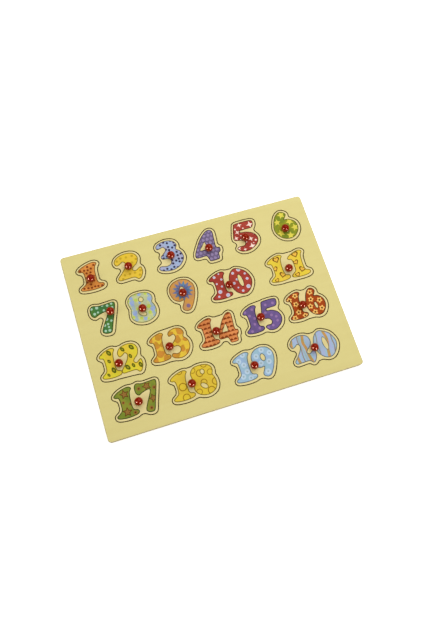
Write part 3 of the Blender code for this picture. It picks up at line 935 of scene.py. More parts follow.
NUMBERS = (
    Number((-135.6, 62.0), "orange", "umber", (Figure(1, 27.6, 33.1),), (
        Mark(Motif.DOT, "rust", 1.35, (
            (-122, 91), (-131, 88), (-126.5, 87.5), (-122.5, 87), (-118.5, 88), (-124.5, 83.5),
            (-120, 83.5), (-126.5, 72.5), (-118.5, 73), (-123, 69), (-131.5, 66), (-127, 65.5),
            (-123, 65), (-119, 65.5), (-115.5, 65), (-111, 64.5), (-114.5, 91.5), (-126, 78),
            (-117.5, 78.5))),
    )),
    Number((-91.5, 60.4), "yellow", "olive", (Figure(2, 30.0, 34.5),), (
        Mark(Motif.DOT, "ochre", 1.5, (
            (-87.5, 88), (-82.5, 90.5), (-76, 90), (-69, 90), (-65.5, 85), (-83, 69), (-77, 69),
            (-71, 69), (-64, 70), (-66, 65), (-71, 82), (-86, 65))),
    )),
    Number((-42.5, 59.7), "sky", "slate", (Figure(3, 31.9, 37.6),), (
        Mark(Motif.DOT, "navy", 1.45, (
            (-33.5, 93.5), (-29, 96), (-25, 94), (-17, 93), (-25, 89), (-20.5, 87), (-17, 89),
            (-28.5, 86.5), (-25, 85), (-34, 80.5), (-17, 80.5), (-34, 76.5), (-17, 76), (-25, 72),
            (-20.5, 70), (-17, 71.5), (-25, 67.5), (-17, 68), (-33.5, 63), (-25, 63), (-38, 89),
            (-20.5, 96), (-13, 71), (-13, 77), (-21, 61.5), (-29, 61), (-38, 62), (-14, 66),
            (-29.5, 78))),
    )),
    Number((2.8, 57.7), "violet", "plum", (Figure(4, 31.2, 38.9),), (
        Mark(Motif.PATCH, "lilac", 1.9, every(
            5.0, (5.0, 35.0), (60.5, 65.5, 70.5, 75.5, 80.5, 85.5, 90.5, 95.0), 2.5)),
    )),
    Number((53.2, 58.3), "red", "maroon", (Figure(5, 28.7, 37.3),), (
        Mark(Motif.SPARKLE, "cream", 4.0, (
            (77.7, 90, 1.15, 5), (65, 92.3, 0.8, 8), (60, 84, 0.8, 20), (73.4, 72, 0.85, 10),
            (72.2, 62.8, 1.05, 5), (56.6, 77, 0.75, 15), (62.5, 60.8, 0.6), (56, 64, 0.65, 25))),
        Mark(Motif.DOT, "cream", 1.0, (
            (58.5, 88.5), (68.2, 87.4, 0.9), (78.6, 77.7, 0.8), (78.5, 69, 1.2), (63, 79, 0.8),
            (61.2, 74, 0.8), (67, 69.3, 0.8), (75, 66.2, 0.7))),
    )),
    Number((104.3, 59.3), "leaf_green", "moss", (Figure(6, 29.8, 36.0),), (
        Mark(Motif.STAR, "lemon", 5.0, (
            (118.6, 91, 1.0, 10), (110.8, 83, 0.92, -8), (126, 80.3, 1.0, 20), (130, 71.5, 1.0, 8),
            (111.3, 68.5, 1.0, 12), (121.5, 63, 1.0, -12))),
    )),
    Number((-132.5, 7.3), "forest", "pine", (Figure(7, 29.4, 35.7),), (
        Mark(Motif.DOT, "ice", 1.35, (
            (-130, 40), (-124, 40, 1.3), (-117.5, 41), (-112, 39.5, 1.1), (-107, 40.5),
            (-128, 33.5, 1.2), (-124, 34.5, 0.9), (-117, 35), (-107, 36), (-116.5, 24, 1.3), (-112, 21),
            (-120.5, 17.5, 1.1), (-116.5, 18), (-116.5, 14.5, 0.9), (-121, 11), (-116.5, 10.5, 1.2))),
    )),
    Number((-89.0, 8.3), "lime", "fern", (Figure(8, 29.7, 35.6),), (
        Mark(Motif.PATCH, "haze", 2.5, tuple(
            (x, y, 1.0, turn) for x, turn in ((-84, 80), (-62.8, 100))
            for y in (40, 36.5, 31, 27.5, 24, 17.5, 14))),
        Mark(Motif.DOT, "pistachio", 2.0, (
            (-79, 36.5), (-66.5, 41.5), (-66.8, 25.5, 1.2), (-67.2, 18), (-78.5, 14, 0.9),
            (-88, 37.5, 0.8), (-86.5, 17.5, 0.8), (-59.5, 36, 0.8), (-60, 18, 0.8), (-78.5, 43, 0.8),
            (-71, 11.5, 0.7), (-79.5, 26, 0.8))),
        Mark(Motif.PATCH, "powder", 2.9, (
            (-84.2, 34, 1.1, 60), (-84, 21.3, 1.15, 50), (-63.8, 34, 1.0, 20), (-63, 21.3, 1.1, 40),
            (-73.8, 42, 0.75, 10), (-74, 12.4, 0.85, 30), (-84, 39.8, 0.7), (-75.5, 32.5, 0.7, 40),
            (-62.5, 40.5, 0.7, 60)), height=0.9),
    )),
    Number((-39.6, 7.4), "apricot", "bronze", (Figure(9, 29.8, 39.0),), (
        Mark(Motif.BURST, "steel", 12.6, ((-24, 32.3, 1.0, 7),)),
        Mark(Motif.BURST, "dusk", 8.6, ((-24, 31.8, 1.0, 20),)),
        Mark(Motif.DOT, "orchid", 2.4, ((-22.8, 13.2),)),
    )),
    Number((7.0, 8.5), "red", "maroon", (Figure(1, 24.3, 33.0), Figure(0, 26.2, 33.1, 0.5, -0.6)), (
        Mark(Motif.DOT, "pearl", 1.7, (
            (15.8, 37.3), (22, 40, 0.6), (23.3, 32.8, 0.8), (16.5, 28.7, 0.7), (21.5, 24.3, 0.7),
            (17.5, 18.5, 1.4), (14.6, 13.2, 0.8), (25.2, 12.3, 1.4), (38.5, 36.3), (46.3, 39, 1.45),
            (52.2, 32.2, 0.8), (41, 27.7, 0.8), (36.5, 24, 1.0), (53, 25.5, 1.0), (39.5, 17.7, 0.6),
            (51.5, 16, 1.45), (43.8, 12.5, 0.9)), core=("silver", 0.7)),
    ), (0.3, 1.6)),
    Number((79.8, 9.9), "gold", "olive", (Figure(1, 24.1, 32.8), Figure(1, 23.7, 32.7, 1.7, -0.3)), (
        Mark(Motif.HEART, "hazel", 4.3, (
            (93.7, 37.9, 1.0, 4), (88.8, 27.2, 0.85, 15), (95.4, 18, 0.95, -25), (86.8, 13.2, 0.65, 20),
            (117.8, 38.3, 1.0, 5), (115.6, 28.6, 0.85, 15), (120.3, 18.4, 0.95, -28),
            (112.8, 13.2, 0.75, 15), (107, 13.4, 0.3)), core=("tangerine", 0.62)),
    ), (0.2, 2.0)),
    Number((-137.8, -44.6), "citron", "olive", (Figure(1, 22.2, 33.3), Figure(2, 24.8, 34.7, -0.2, -1.5)), (
        Mark(Motif.LEAF, "leaf", 3.7, (
            (-124.6, -14.6, 1.0, -62), (-98.8, -15, 1.0, -55), (-124, -34.8, 1.0, -72),
            (-108.4, -36, 1.0, -55), (-94, -37, 0.9, -75), (-109, -14.8, 0.85, -60),
            (-126.5, -23.8, 0.7, -60), (-102.4, -24.5, 0.75, -70), (-101.8, -35.6, 0.75, -70),
            (-130.6, -38.6, 0.6, -60), (-133.5, -13.6, 0.65, 30)),
            core=("pear", 0.42)),
    ), (0.5, 2.0)),
    Number((-79.5, -43.0), "honey", "brown", (Figure(1, 20.8, 32.8), Figure(3, 23.3, 35.2, 0.9, -1.5)), (
        Mark(Motif.PATCH, "caramel", 4.8, (
            (-66.5, -12.8, 1.0, 10), (-77, -14.3, 0.8, 50), (-71.6, -21.8, 0.95, 85),
            (-65, -22.5, 0.7, 80), (-69.3, -32.5, 1.0, 15), (-76.8, -38.2, 0.8, 60),
            (-63.7, -38.8, 0.95, 5), (-53, -12.6, 0.8, 5), (-40.8, -12, 1.15, 35),
            (-46.8, -21.5, 1.0, 75), (-37.7, -23.2, 0.7, 80), (-44.2, -33, 0.85, 65),
            (-52.8, -39, 0.95, 25), (-37.8, -38.2, 0.85, 40)), height=0.92),
    ), (1.1, 0.0)),
    Number((-22.6, -42.8), "coral", "chestnut", (Figure(1, 21.9, 33.1), Figure(4, 23.6, 35.8, 0.3, -2.2)), (
        Mark(Motif.SCALLOP, "sienna", 2.15, tuple(
            (x, y) for x in (-21.6, -17, -12.4, -7.8, -3.2, 3.4, 8, 12.6, 17.2, 21.8)
            for y in (-9.6, -14.7, -19.9, -25.1, -30.2, -35.3, -40.5)), height=1.15),
    ), (5.6, 3.2)),
    Number((32.5, -42.4), "grape", "plum", (Figure(1, 21.1, 33.0), Figure(5, 22.1, 36.4, 1.3, -1.7)), (
        Mark(Motif.DOT, "mauve", 1.6, (
            (46, -12.5), (41, -19), (44, -30), (48, -36), (63, -11.5), (72, -11.5), (66, -25),
            (71, -28), (71, -33), (64, -37), (37, -13.5), (46, -23.5), (38.5, -37.5), (60, -20.5),
            (58, -38))),
    ), (2.0, 0.0)),
    Number((86.4, -40.6), "brick", "maroon", (Figure(1, 22.2, 32.9), Figure(6, 23.1, 34.2, 0.8, -1.1)), (
        Mark(Motif.FLOWER, "saffron", 3.4, (
            (92, -14.5), (100.2, -11, 1.0, 20), (98, -21, 1.0, 40), (98, -31), (91.7, -36.5, 1.0, 30),
            (104.2, -36.7, 0.95), (118.7, -11.5, 1.0, 15), (117, -20, 1.0, 50),
            (126.7, -23.7, 1.05, 25), (113.8, -28, 1.0, 60), (117, -36, 1.0, 10),
            (126.3, -33.5, 1.0, 45)),
            core=("bark", 0.36), core_motif=Motif.DOT),
    ), (1.4, 2.3)),
    Number((-133.9, -91.0), "grass", "pine", (Figure(1, 24.9, 33.1), Figure(7, 25.4, 34.7, 0.7, -1.0)), (
        Mark(Motif.STAR, "bark", 5.9, (
            (-120.3, -64, 1.0, 5), (-94.6, -62, 0.95, 15), (-121.8, -83.6, 1.0, -8),
            (-90.6, -77, 0.95, 12)),
            core=("russet", 0.68)),
        Mark(Motif.DOT, "russet", 2.3, (
            (-103.5, -62.6), (-86.7, -65.8), (-113.7, -86.5, 0.95), (-95.5, -86.7),
            (-123.7, -72.6, 0.8), (-116.4, -76, 0.8)), core=("bark", 0.45)),
    ), (3.2, 0.8)),
    Number((-69.7, -91.0), "straw", "olive", (Figure(1, 24.6, 32.8), Figure(8, 26.2, 34.4, 0.5, -0.9)), (
        Mark(Motif.DOT, "sand", 4.3, (
            (-56.4, -75, 1.1), (-55.8, -57.4, 0.85), (-55.6, -87.4, 1.02), (-34, -65.6, 1.0),
            (-32.2, -76.6, 0.9), (-22.4, -67.4, 0.85), (-27, -57, 0.9), (-19.4, -79),
            (-26.5, -87.4, 1.05), (-40.2, -85.5, 0.85), (-41, -60.4, 0.8)), core=("straw", 0.77)),
    ), (2.3, 1.2)),
    Number((3.4, -91.6), "azure", "storm", (Figure(1, 24.8, 33.1), Figure(9, 26.4, 34.8, -1.6, -0.9)), (
        Mark(Motif.DOT, "mist", 3.1, (
            (12, -66), (18.5, -60), (16.5, -71.5), (18, -79.5), (12, -84), (20, -87.5), (33, -66),
            (41, -60.5), (49, -66), (36, -75), (45.5, -75.5), (41, -86), (25.5, -84)),
            core=("haze", 0.35)),
    ), (2.6, 1.4)),
    Number((74.1, -91.8), "pool", "storm", (Figure(2, 26.6, 34.4), Figure(0, 26.6, 33.0, 0.9, 0.6)), (
        Ribbon("periwinkle", 4.0, ((80, -56), (81, -62), (82.5, -68), (81, -74))),
        Ribbon("periwinkle", 3.6, ((96, -56), (95, -62), (96.5, -68), (97, -74))),
        Ribbon("periwinkle", 3.6, ((82, -78), (80, -84), (84, -93))),
        Ribbon("periwinkle", 3.4, ((97, -78), (99, -84), (97, -93))),
        Ribbon("periwinkle", 4.0, ((110, -56), (111.5, -63), (109, -72), (109.5, -82), (107, -92))),
        Ribbon("periwinkle", 4.4, ((122, -58), (121, -68), (120, -78), (121, -86), (119, -93))),
        Ribbon("clay", 3.4, ((77, -60), (76, -65), (75, -70))),
        Ribbon("clay", 3.4, ((92.5, -55), (91, -61), (90, -67), (91.5, -74), (92, -82), (94, -92))),
        Ribbon("clay", 3.2, ((78, -79), (79, -85), (80, -92))),
        Ribbon("clay", 3.2, (
            (116, -55), (117, -62), (118.5, -69), (117.5, -76), (115.5, -83), (114.5, -93))),
        Ribbon("haze", 2.0, ((87.5, -56), (86.5, -64), (87, -73), (88.5, -82), (89, -92))),
        Ribbon("haze", 1.8, ((104, -58), (103.8, -66), (104.2, -74), (104.5, -84))),
        Ribbon("taupe", 1.1, ((85.5, -56), (84.5, -64), (85.5, -73), (85, -82), (86, -92))),
        Ribbon("taupe", 1.1, ((107.5, -58), (107, -66), (105.5, -74), (106, -84))),
        Ribbon("taupe", 1.3, ((125, -64), (124, -72), (124.5, -80), (122.5, -88))),
    ), (3.2, 2.9)),
)


# Modelling

@contextmanager
def editing(piece: bpy.types.Object) -> Iterator[None]:
    """Keep one piece in edit mode, with everything of it selected.

    Args:
        piece: The piece.
    """
    take_up(piece)
    bpy.ops.object.mode_set(mode="EDIT")
    bpy.ops.mesh.select_all(action="SELECT")
    try:
        yield
    finally:
        bpy.ops.object.mode_set(mode="OBJECT")


def take_up(piece: bpy.types.Object) -> None:
    """Select one piece and nothing else.

    Args:
        piece: The piece.
    """
    bpy.ops.object.select_all(action="DESELECT")
    piece.select_set(True)
    bpy.context.view_layer.objects.active = piece


def choose(piece: bpy.types.Object, kind: str, wanted: Callable) -> None:
    """Select some vertices, edges or faces of the piece that is in edit mode.

    Args:
        piece: The piece.
        kind: VERT, EDGE or FACE.
        wanted: Says of each one whether it is to be selected.
    """
    bpy.ops.mesh.select_mode(type=kind)
    bpy.ops.mesh.select_all(action="DESELECT")
    shape = bmesh.from_edit_mesh(piece.data)
    for element in {"VERT": shape.verts, "EDGE": shape.edges, "FACE": shape.faces}[kind]:
        if wanted(element):
            element.select_set(True)
    bmesh.update_edit_mesh(piece.data)


def new_piece(name: str, points: list, faces: list) -> bpy.types.Object:
    """Put a new piece with its own mesh into the scene.

    Args:
        name: The name of the piece and its mesh.
        points: Its corners.
        faces: Its faces, as the places of their corners in the list.

    Returns:
        The piece.
    """
    mesh = bpy.data.meshes.new(name)
    mesh.from_pydata(points, [], faces)
    piece = bpy.data.objects.new(name, mesh)
    bpy.context.scene.collection.objects.link(piece)
    return piece


class Cut(NamedTuple):
    """One closed saw cut through a sheet, and how far its upper and lower rims are rounded."""

    loop: Loop
    upper: float = 0.0
    lower: float = 0.0

    def rings(self, low: float, high: float, is_opening: bool) -> list[list[tuple[float, float, float]]]:
        """Draw the cut's wall as rings of points, from its lower to its upper rim.

        Args:
            low: The height of the sheet's underside.
            high: The height of its face.
            is_opening: Whether the wood lies outside the cut.

        Returns:
            The rings, with as many points each.
        """
        along = np.roll(self.loop, -1, axis=0) - np.roll(self.loop, 1, axis=0)
        to_wood = np.stack((-along[:, 1], along[:, 0]), axis=1)
        sense = 1 if is_anticlockwise(self.loop) != is_opening else -1
        to_wood /= np.linalg.norm(to_wood, axis=1)[:, None] * sense
        steps = np.arange(RIM_STEPS + 1) * math.pi / 2 / RIM_STEPS
        profile = [(self.lower * (1 - math.sin(angle)), low + self.lower * (1 - math.cos(angle)))
                   for angle in steps]
        profile += [(self.upper * (1 - math.cos(angle)), high - self.upper * (1 - math.sin(angle)))
                    for angle in steps]
        stages = [stage for last, stage in zip([None] + profile, profile) if stage != last]
        return [[(*point, height) for point in self.loop + to_wood * inset] for inset, height in stages]


def sawn_solid(name: str, edge: Cut, openings: Sequence[Cut], low: float, high: float) -> bpy.types.Object:
    """Saw a closed solid out of a sheet: its walls first, then its two flat faces filled in between them.

    Args:
        name: The piece's name.
        edge: The cut round it.
        openings: The cuts of its openings.
        low: The height of its underside.
        high: The height of its face.

    Returns:
        The piece.
    """
    points: list = []
    walls: list = []
    for order, cut in enumerate((edge, *openings)):
        rings = cut.rings(low, high, order > 0)
        for lower in range(len(rings) - 1):
            first, count = len(points) + lower * len(cut.loop), len(cut.loop)
            walls += [(first + step, first + (step + 1) % count, first + count + (step + 1) % count,
                       first + count + step) for step in range(count)]
        for ring in rings:
            points += ring
    piece = new_piece(name, points, walls)
    with editing(piece):
        for height in (low, high):
            choose(piece, "EDGE", lambda side: all(abs(vert.co.z - height) < SHORTEST_EDGE
                                                   for vert in side.verts))
            bpy.ops.mesh.fill()
        bpy.ops.mesh.select_all(action="SELECT")
        bpy.ops.mesh.normals_make_consistent(inside=False)
    return piece


def smooth(piece: bpy.types.Object, degrees: float = 35.0) -> None:
    """Shade a piece smoothly, but for its level faces and its sharp edges.

    Args:
        piece: The piece.
        degrees: The angle from which an edge counts as sharp.
    """
    take_up(piece)
    bpy.ops.object.shade_smooth_by_angle(angle=math.radians(degrees))
    for polygon in piece.data.polygons:
        if abs(polygon.normal.z) > LEVEL:
            polygon.use_smooth = False


def dress_sawn(piece: bpy.types.Object, face: bpy.types.Material, edge: bpy.types.Material,
               back: bpy.types.Material, cut: bpy.types.Material | None = None) -> None:
    """Give a sawn sheet its finishes.

    Args:
        piece: The sheet, whose middle is the origin where it has openings.
        face: The finish of its upper face and of the broken rims of its cuts.
        edge: The finish of the wall round it.
        back: The finish of its underside.
        cut: The finish of the walls of its openings. A sheet that has them also shows its bare edge on
            the round of its outer rim.
    """
    for material in (face, edge, back, cut):
        if material:
            piece.data.materials.append(material)
    half_length, half_width = piece.dimensions.x / 2 - EDGE_ZONE, piece.dimensions.y / 2 - EDGE_ZONE
    for polygon in piece.data.polygons:
        lift, middle = polygon.normal.z, polygon.center
        is_inside = abs(middle.x) < half_length and abs(middle.y) < half_width
        level, wall = (STEEP, 1) if cut is None else (STEEP, 3) if is_inside else (NEARLY_LEVEL, 1)
        polygon.material_index = 0 if lift > level else 2 if lift < -STEEP else wall


def settle(piece: bpy.types.Object, body: str, replaced: Sequence[str] = ()) -> None:
    """Put a finished piece on its body and log it.

    Args:
        piece: The piece.
        body: The body that it moves with.
        replaced: The solids that it stands for.
    """
    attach(piece, body)
    if replaced:
        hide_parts(*replaced)
    log.info("%s: %d faces, on %s", piece.name, len(piece.data.polygons), body)


@dataclass
class Knob:
    """The small round knob, moulded in one piece: ball, neck, foot and stem."""

    ball: float = 9.5 * MM
    neck: float = 5.0 * MM
    neck_height: float = 0.5 * MM
    foot: float = 6.6 * MM
    foot_height: float = 0.6 * MM
    stem: float = 4.0 * MM
    bevel: float = 0.22 * MM
    segments: int = 48
    rings: int = 28
    model: bpy.types.Object | None = field(default=None, init=False)

    def build(self, seat: float, stem_end: float, material: bpy.types.Material) -> None:
        """Model the knob once, standing over the origin.

        Args:
            seat: The height of the underside of its foot.
            stem_end: The height of the lower end of its stem.
            material: Its finish.
        """
        radius = self.ball / 2
        neck_top = seat + self.foot_height + self.neck_height
        middle = neck_top + math.sqrt(radius**2 - (self.neck / 2)**2)
        bpy.ops.object.select_all(action="DESELECT")
        bpy.ops.mesh.primitive_uv_sphere_add(segments=self.segments, ring_count=self.rings, radius=radius,
                                             location=(0.0, 0.0, middle))
        knob = bpy.context.object
        bpy.ops.object.transform_apply(location=True, rotation=False, scale=False)
        with editing(knob):
            bpy.ops.mesh.bisect(plane_co=(0.0, 0.0, neck_top), plane_no=(0.0, 0.0, 1.0), clear_inner=True)
        width = self.neck
        steps = ((self.neck, seat + self.foot_height), (self.foot, seat + self.foot_height),
                 (self.foot, seat), (self.stem, seat), (self.stem, stem_end))
        height = neck_top
        with editing(knob):
            choose(knob, "EDGE", lambda edge: edge.is_boundary)
            for next_width, next_height in steps:
                bpy.ops.mesh.extrude_region_move(
                    TRANSFORM_OT_translate={"value": (0.0, 0.0, next_height - height)})
                bpy.ops.transform.resize(value=(next_width / width, next_width / width, 1.0),
                                         center_override=(0.0, 0.0, next_height))
                width, height = next_width, next_height
            bpy.ops.mesh.edge_face_add()
            bpy.ops.mesh.select_all(action="SELECT")
            bpy.ops.mesh.normals_make_consistent(inside=False)
            self.round_turns(knob, seat, stem_end)
        knob.data.materials.append(material)
        smooth(knob, 40.0)
        self.model = knob

    def round_turns(self, knob: bpy.types.Object, seat: float, stem_end: float) -> None:
        """Round the outer edges of the foot and the end of the stem.

        Args:
            knob: The knob, in edit mode.
            seat: The height of the underside of its foot.
            stem_end: The height of the lower end of its stem.
        """

        def on_turn(edge: bmesh.types.BMEdge) -> bool:
            """Pick what is rounded.

            Args:
                edge: An edge of the knob.

            Returns:
                Whether it runs round the foot's outside or the stem's end.
            """
            first, second = edge.verts
            if abs(first.co.z - second.co.z) > SHORTEST_EDGE:
                return False
            is_wide = first.co.xy.length > self.foot / 2 - SHORTEST_EDGE
            is_foot = is_wide and first.co.z < seat + self.foot_height + SHORTEST_EDGE
            return is_foot or first.co.z < stem_end + SHORTEST_EDGE

        choose(knob, "EDGE", on_turn)
        bpy.ops.mesh.bevel(offset=self.bevel, segments=3, profile=0.5, affect="EDGES", clamp_overlap=False)

    def copy_to(self, name: str, middle: Vector) -> bpy.types.Object:
        """Copy the knob to a tile.

        Args:
            name: The copy's name.
            middle: Where its axis stands.

        Returns:
            The copy, with its own mesh.
        """
        piece = self.model.copy()
        piece.data = self.model.data.copy()
        piece.name = name
        piece.data.name = name
        piece.data.transform(Matrix.Translation((middle.x, middle.y, 0.0)))
        bpy.context.scene.collection.objects.link(piece)
        return piece


@dataclass
class NumberTile:
    """One lift-out tile: sawn plywood with a printed number and a knob."""

    order: int
    number: Number
    margin: float = 2.3 * MM
    hollow: float = 3.2 * MM
    saw_cut: float = 1.0 * MM
    rim: float = 0.35 * MM
    splinter: float = 0.1 * MM
    hole: float = 4.6 * MM
    line_width: float = 0.95 * MM
    spread: float = 0.28 * MM
    ink_depth: float = 0.04 * MM
    ink_sink: float = 0.01 * MM
    register: tuple[float, float] = (-0.35 * MM, 0.35 * MM)

    @property
    def label(self) -> str:
        """The tile's number in two figures."""
        return f"{self.order:02d}"

    @property
    def body(self) -> str:
        """The body that the tile moves with."""
        return f"piece_{self.label}"

    def lay_out(self) -> None:
        """Work out the outlines of the tile and its opening, where its solid stands."""
        swell = self.margin + self.hollow
        swollen = DistanceField(self.number.wood(), swell + FIELD_STEP).line(swell)
        closed = DistanceField([swollen], FIELD_STEP)
        self.low, self.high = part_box(f"tile_{self.label}")
        self.corner = np.array(self.low.xy) + self.margin
        self.outline = closed.line(-self.hollow) + self.corner
        self.opening = closed.line(self.saw_cut - self.hollow) + self.corner
        knob_low, knob_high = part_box(f"knob_{self.label}")
        self.knob_axis = (knob_low + knob_high) / 2
        self.drill = ellipse(self.knob_axis.xy, (self.hole, self.hole))

    def build_wood(self, finishes: tuple[bpy.types.Material, ...]) -> None:
        """Saw the tile out, drill it and break its upper rim.

        Args:
            finishes: The finishes of its face, its saw cut and its back.
        """
        piece = sawn_solid(f"sawn_tile_{self.label}", Cut(self.outline, self.rim, self.splinter),
                           (Cut(self.drill),), self.low.z, self.high.z)
        dress_sawn(piece, *finishes)
        smooth(piece)
        settle(piece, self.body, (f"tile_{self.label}",))

    def build_print(self, inks: dict[str, bpy.types.Material]) -> None:
        """Lay the printed number on the tile as one thin layer of several inks.

        Args:
            inks: The inks by name.
        """
        loops, roles = self.print_regions()
        points: list[Vector] = []
        faces: list[list[int]] = []
        for loop in loops:
            faces.append(list(range(len(points), len(points) + len(loop))))
            points += [Vector(point) for point in loop]
        made = delaunay_2d_cdt(points, [], faces, 1, PRINT_TOLERANCE)
        corners, triangles, origins = made[0], made[2], made[5]
        names: list[str] = []
        kept: list[Sequence[int]] = []
        worn: list[int] = []
        for triangle, origin in zip(triangles, origins):
            ink = self.ink_at([roles[face] for face in sorted(set(origin))])
            if ink is None:
                continue
            if ink not in names:
                names.append(ink)
            kept.append(triangle)
            worn.append(names.index(ink))
        height = self.high.z - self.ink_sink
        piece = new_piece(f"print_{self.label}", [(x, y, height) for x, y in corners], kept)
        for name in names:
            piece.data.materials.append(inks[name])
        for polygon, index in zip(piece.data.polygons, worn):
            polygon.material_index = index
        with editing(piece):
            bpy.ops.mesh.delete_loose()
            bpy.ops.mesh.select_all(action="SELECT")
            bpy.ops.mesh.extrude_region_move(
                TRANSFORM_OT_translate={"value": (0.0, 0.0, self.ink_depth + self.ink_sink)})
            bpy.ops.mesh.select_all(action="SELECT")
            bpy.ops.mesh.normals_make_consistent(inside=False)
        settle(piece, self.body)

    def print_regions(self) -> tuple[list[Loop], list[str]]:
        """Draw every region of the print.

        Returns:
            The outlines of the regions, and for each the ink in it or one of DIGIT, INSIDE, RING and BARE.
        """
        start = self.corner + self.register
        loops, roles = [], []

        def region(role: str, loop: Loop) -> None:
            """Add one region, its outline anticlockwise."""
            loops.append(loop if is_anticlockwise(loop) else loop[::-1])
            roles.append(role)

        for outline, eyes in self.number.digits():
            reach = DistanceField([outline], 2 * FIELD_STEP)
            region("DIGIT", reach.line(self.spread, PRINT_SPACING) + start)
            region("INSIDE", reach.line(self.spread - self.line_width, PRINT_SPACING) + start)
            for eye in eyes:
                middle = eye.mean(axis=0)
                radii = np.linalg.norm(eye - middle, axis=1, keepdims=True)
                region("RING", middle + (eye - middle) * (1 + self.line_width / radii) + start)
                region("BARE", eye + start)
        region("BARE", self.drill)
        shift = start - np.array(self.number.corner) * MM
        for mark in self.number.marks:
            for ink, loop in mark.loops():
                region(ink, loop * MM + shift)
        return loops, roles

    def ink_at(self, roles: Sequence[str]) -> str | None:
        """Say which ink lies where some regions overlap.

        Args:
            roles: What these regions are, in the order in which they were drawn.

        Returns:
            The ink's name, or None for bare wood.
        """
        if "DIGIT" not in roles or "BARE" in roles:
            return None
        if "INSIDE" not in roles or "RING" in roles:
            return self.number.line
        marks = [role for role in roles if role in INKS]
        return marks[-1] if marks else self.number.fill

    def build(self, wood: tuple[bpy.types.Material, ...], inks: dict[str, bpy.types.Material],
              knob: Knob) -> None:
        """Build the tile with its print and its knob.

        Args:
            wood: The finishes of its face, its saw cut and its back.
            inks: The inks by name.
            knob: The knob that it gets a copy of.
        """
        self.build_wood(wood)
        self.build_print(inks)
        piece = knob.copy_to(f"turned_knob_{self.label}", self.knob_axis)
        settle(piece, self.body, (f"knob_{self.label}",))


@dataclass
class Board:
    """The board: a sheet with its openings on a thin backing sheet."""

    corner_radius: float = 4.0 * MM
    edge_round: float = 1.0 * MM
    rim: float = 0.3 * MM
    seam: float = 0.12 * MM
    glue_line: float = 0.02 * MM

    def build(self, openings: Sequence[Loop], top_finishes: tuple, back_finishes: tuple) -> None:
        """Build both sheets.

        Args:
            openings: The outlines of the openings.
            top_finishes: The finishes of the face, the outer wall, the underside and the saw cuts of the
                top sheet.
            back_finishes: The same for the backing sheet, which has no saw cuts.
        """
        low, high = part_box("top_sheet")
        edge = rounded_rectangle(high.x - low.x, high.y - low.y, self.corner_radius)
        top = sawn_solid("lacquered_sheet", Cut(edge, self.edge_round),
                         [Cut(opening, self.rim) for opening in openings], low.z, high.z)
        dress_sawn(top, *top_finishes)
        smooth(top)
        settle(top, "board", ("top_sheet",))

        back_low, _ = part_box("backing_sheet")
        back = sawn_solid("backing_board", Cut(edge, self.seam, self.edge_round), (), back_low.z,
                          low.z - self.glue_line)
        dress_sawn(back, *back_finishes)
        smooth(back)
        settle(back, "board", ("backing_sheet",))


@dataclass
class Softbox:
    """One soft studio lamp, aimed at the board."""

    name: str
    direction: tuple[float, float, float]
    distance: float
    size: float
    radiance: float
    is_mirrored: bool = True
    lights_up: bool = True

    def build(self, knobs: bpy.types.Collection) -> None:
        """Hang the lamp.

        Args:
            knobs: The knobs. A lamp that only gives highlights shines on nothing else, so that it is
                not seen as glare on the board from low down.
        """
        place = Vector(self.direction).normalized() * self.distance
        light = bpy.data.lights.new(self.name, "AREA")
        light.shape = "SQUARE"
        light.size = self.size
        light.energy = self.radiance * math.pi * self.size**2
        lamp = bpy.data.objects.new(self.name, light)
        lamp.rotation_euler = place.to_track_quat("Z", "Y").to_euler()
        lamp.location = place
        lamp.visible_glossy = self.is_mirrored
        lamp.visible_diffuse = self.lights_up
        if not self.lights_up:
            lamp.light_linking.receiver_collection = knobs
        bpy.context.scene.collection.objects.link(lamp)


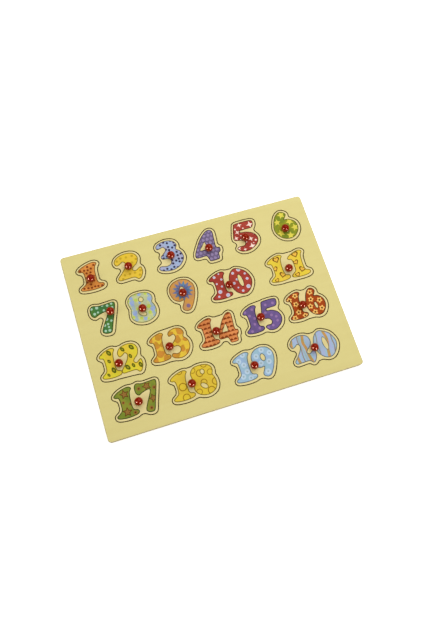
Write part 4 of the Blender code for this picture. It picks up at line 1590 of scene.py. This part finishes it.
@dataclass
class Studio:
    """The white table, the lamps and the camera."""

    table: float = 8.0
    table_drop: float = 0.1 * MM
    surround: float = 0.35
    lens: float = 32.634
    sensor: float = 36.0
    nearest: float = 0.01
    eye: tuple[float, float, float] = (-0.09543, -0.15755, 0.64133)
    right: tuple[float, float, float] = (0.95111, -0.30130, 0.06784)
    up: tuple[float, float, float] = (0.27430, 0.92506, 0.26274)
    softboxes: tuple[Softbox, ...] = (
        Softbox("left_softbox", (-0.82, -0.05, 0.55), 2.0, 1.0, 2.2, is_mirrored=False),
        Softbox("front_softbox", (0.50, -0.70, 0.485), 2.0, 1.0, 2.2, is_mirrored=False),
        Softbox("left_window", (-0.90, -0.18, 0.40), 2.0, 0.85, 17.0, lights_up=False),
        Softbox("front_window", (0.39, -0.84, 0.37), 2.0, 0.85, 17.0, lights_up=False),
        Softbox("ceiling_panel", (0.45, 0.55, 0.80), 1.6, 1.5, 0.6),
        Softbox("overhead_fill", (0.18, 0.30, 0.935), 0.70, 0.95, 1.30, is_mirrored=False),
    )

    def build(self) -> None:
        """Set up everything that is not part of the puzzle."""
        bpy.ops.object.select_all(action="DESELECT")
        bpy.ops.mesh.primitive_plane_add(size=self.table, location=(0.0, 0.0, -self.table_drop))
        table = bpy.context.object
        table.name = "table_top"
        table.data.materials.append(FLOOR.material())
        table.visible_glossy = False
        table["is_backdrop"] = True
        knobs = bpy.data.collections.new("knobs")
        for piece in bpy.context.scene.objects:
            if piece.name.startswith("turned_knob_"):
                knobs.objects.link(piece)
        for softbox in self.softboxes:
            softbox.build(knobs)
        world = bpy.data.worlds.new("white_studio")
        world.use_nodes = True
        background = world.node_tree.nodes["Background"]
        background.inputs["Color"].default_value = (1.0, 1.0, 1.0, 1.0)
        background.inputs["Strength"].default_value = self.surround
        world.cycles_visibility.glossy = False
        bpy.context.scene.world = world
        bpy.context.scene.view_settings.view_transform = "Standard"
        self.place_camera()

    def place_camera(self) -> None:
        """Set the camera where the picture was taken from."""
        bpy.ops.object.camera_add()
        camera = bpy.context.object
        camera.name = "picture_camera"
        camera.data.lens = self.lens
        camera.data.sensor_width = self.sensor
        camera.data.sensor_fit = "AUTO"
        camera.data.clip_start = self.nearest
        right, up = Vector(self.right), Vector(self.up)
        turn = Matrix((right, up, right.cross(up))).transposed()
        camera.matrix_world = Matrix.Translation(self.eye) @ turn.to_4x4()
        bpy.context.scene.camera = camera


def main() -> None:
    """Build the visible pieces in order."""
    logging.basicConfig(level=logging.INFO, format="%(name)s: %(message)s")
    back = RAW_BACK.material()
    # The saw-cut walls carry painted shade for the narrow gaps as well as the scorch of the cut.
    cut = CUT_EDGE_WITH_PAINTED_SHADE.material()
    tile_finishes = (TILE_FACE.material(), cut, back)
    inks = {name: ink.material() for name, ink in INKS.items()}
    tiles = [NumberTile(order, number) for order, number in enumerate(NUMBERS, start=1)]
    for tile in tiles:
        tile.lay_out()
    raw = RAW_FACE.material()
    Board().build([tile.opening for tile in tiles],
                  (BOARD_FACE.material(), SHEET_EDGE.material(), back, cut),
                  (raw, BACKING_EDGE.material(), raw))
    knob_low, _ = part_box("knob_01")
    _, tile_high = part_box("tile_01")
    knob = Knob()
    knob.build(tile_high.z, knob_low.z, KNOB_RED.material())
    for tile in tiles:
        tile.build(tile_finishes, inks, knob)
    bpy.data.objects.remove(knob.model)
    Studio().build()
    sizes = {"cad": CAD_BOX, "visual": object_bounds()}
    {name: [list(corner) for corner in box] for name, box in sizes.items()}


if __name__ == "__main__":
    main()
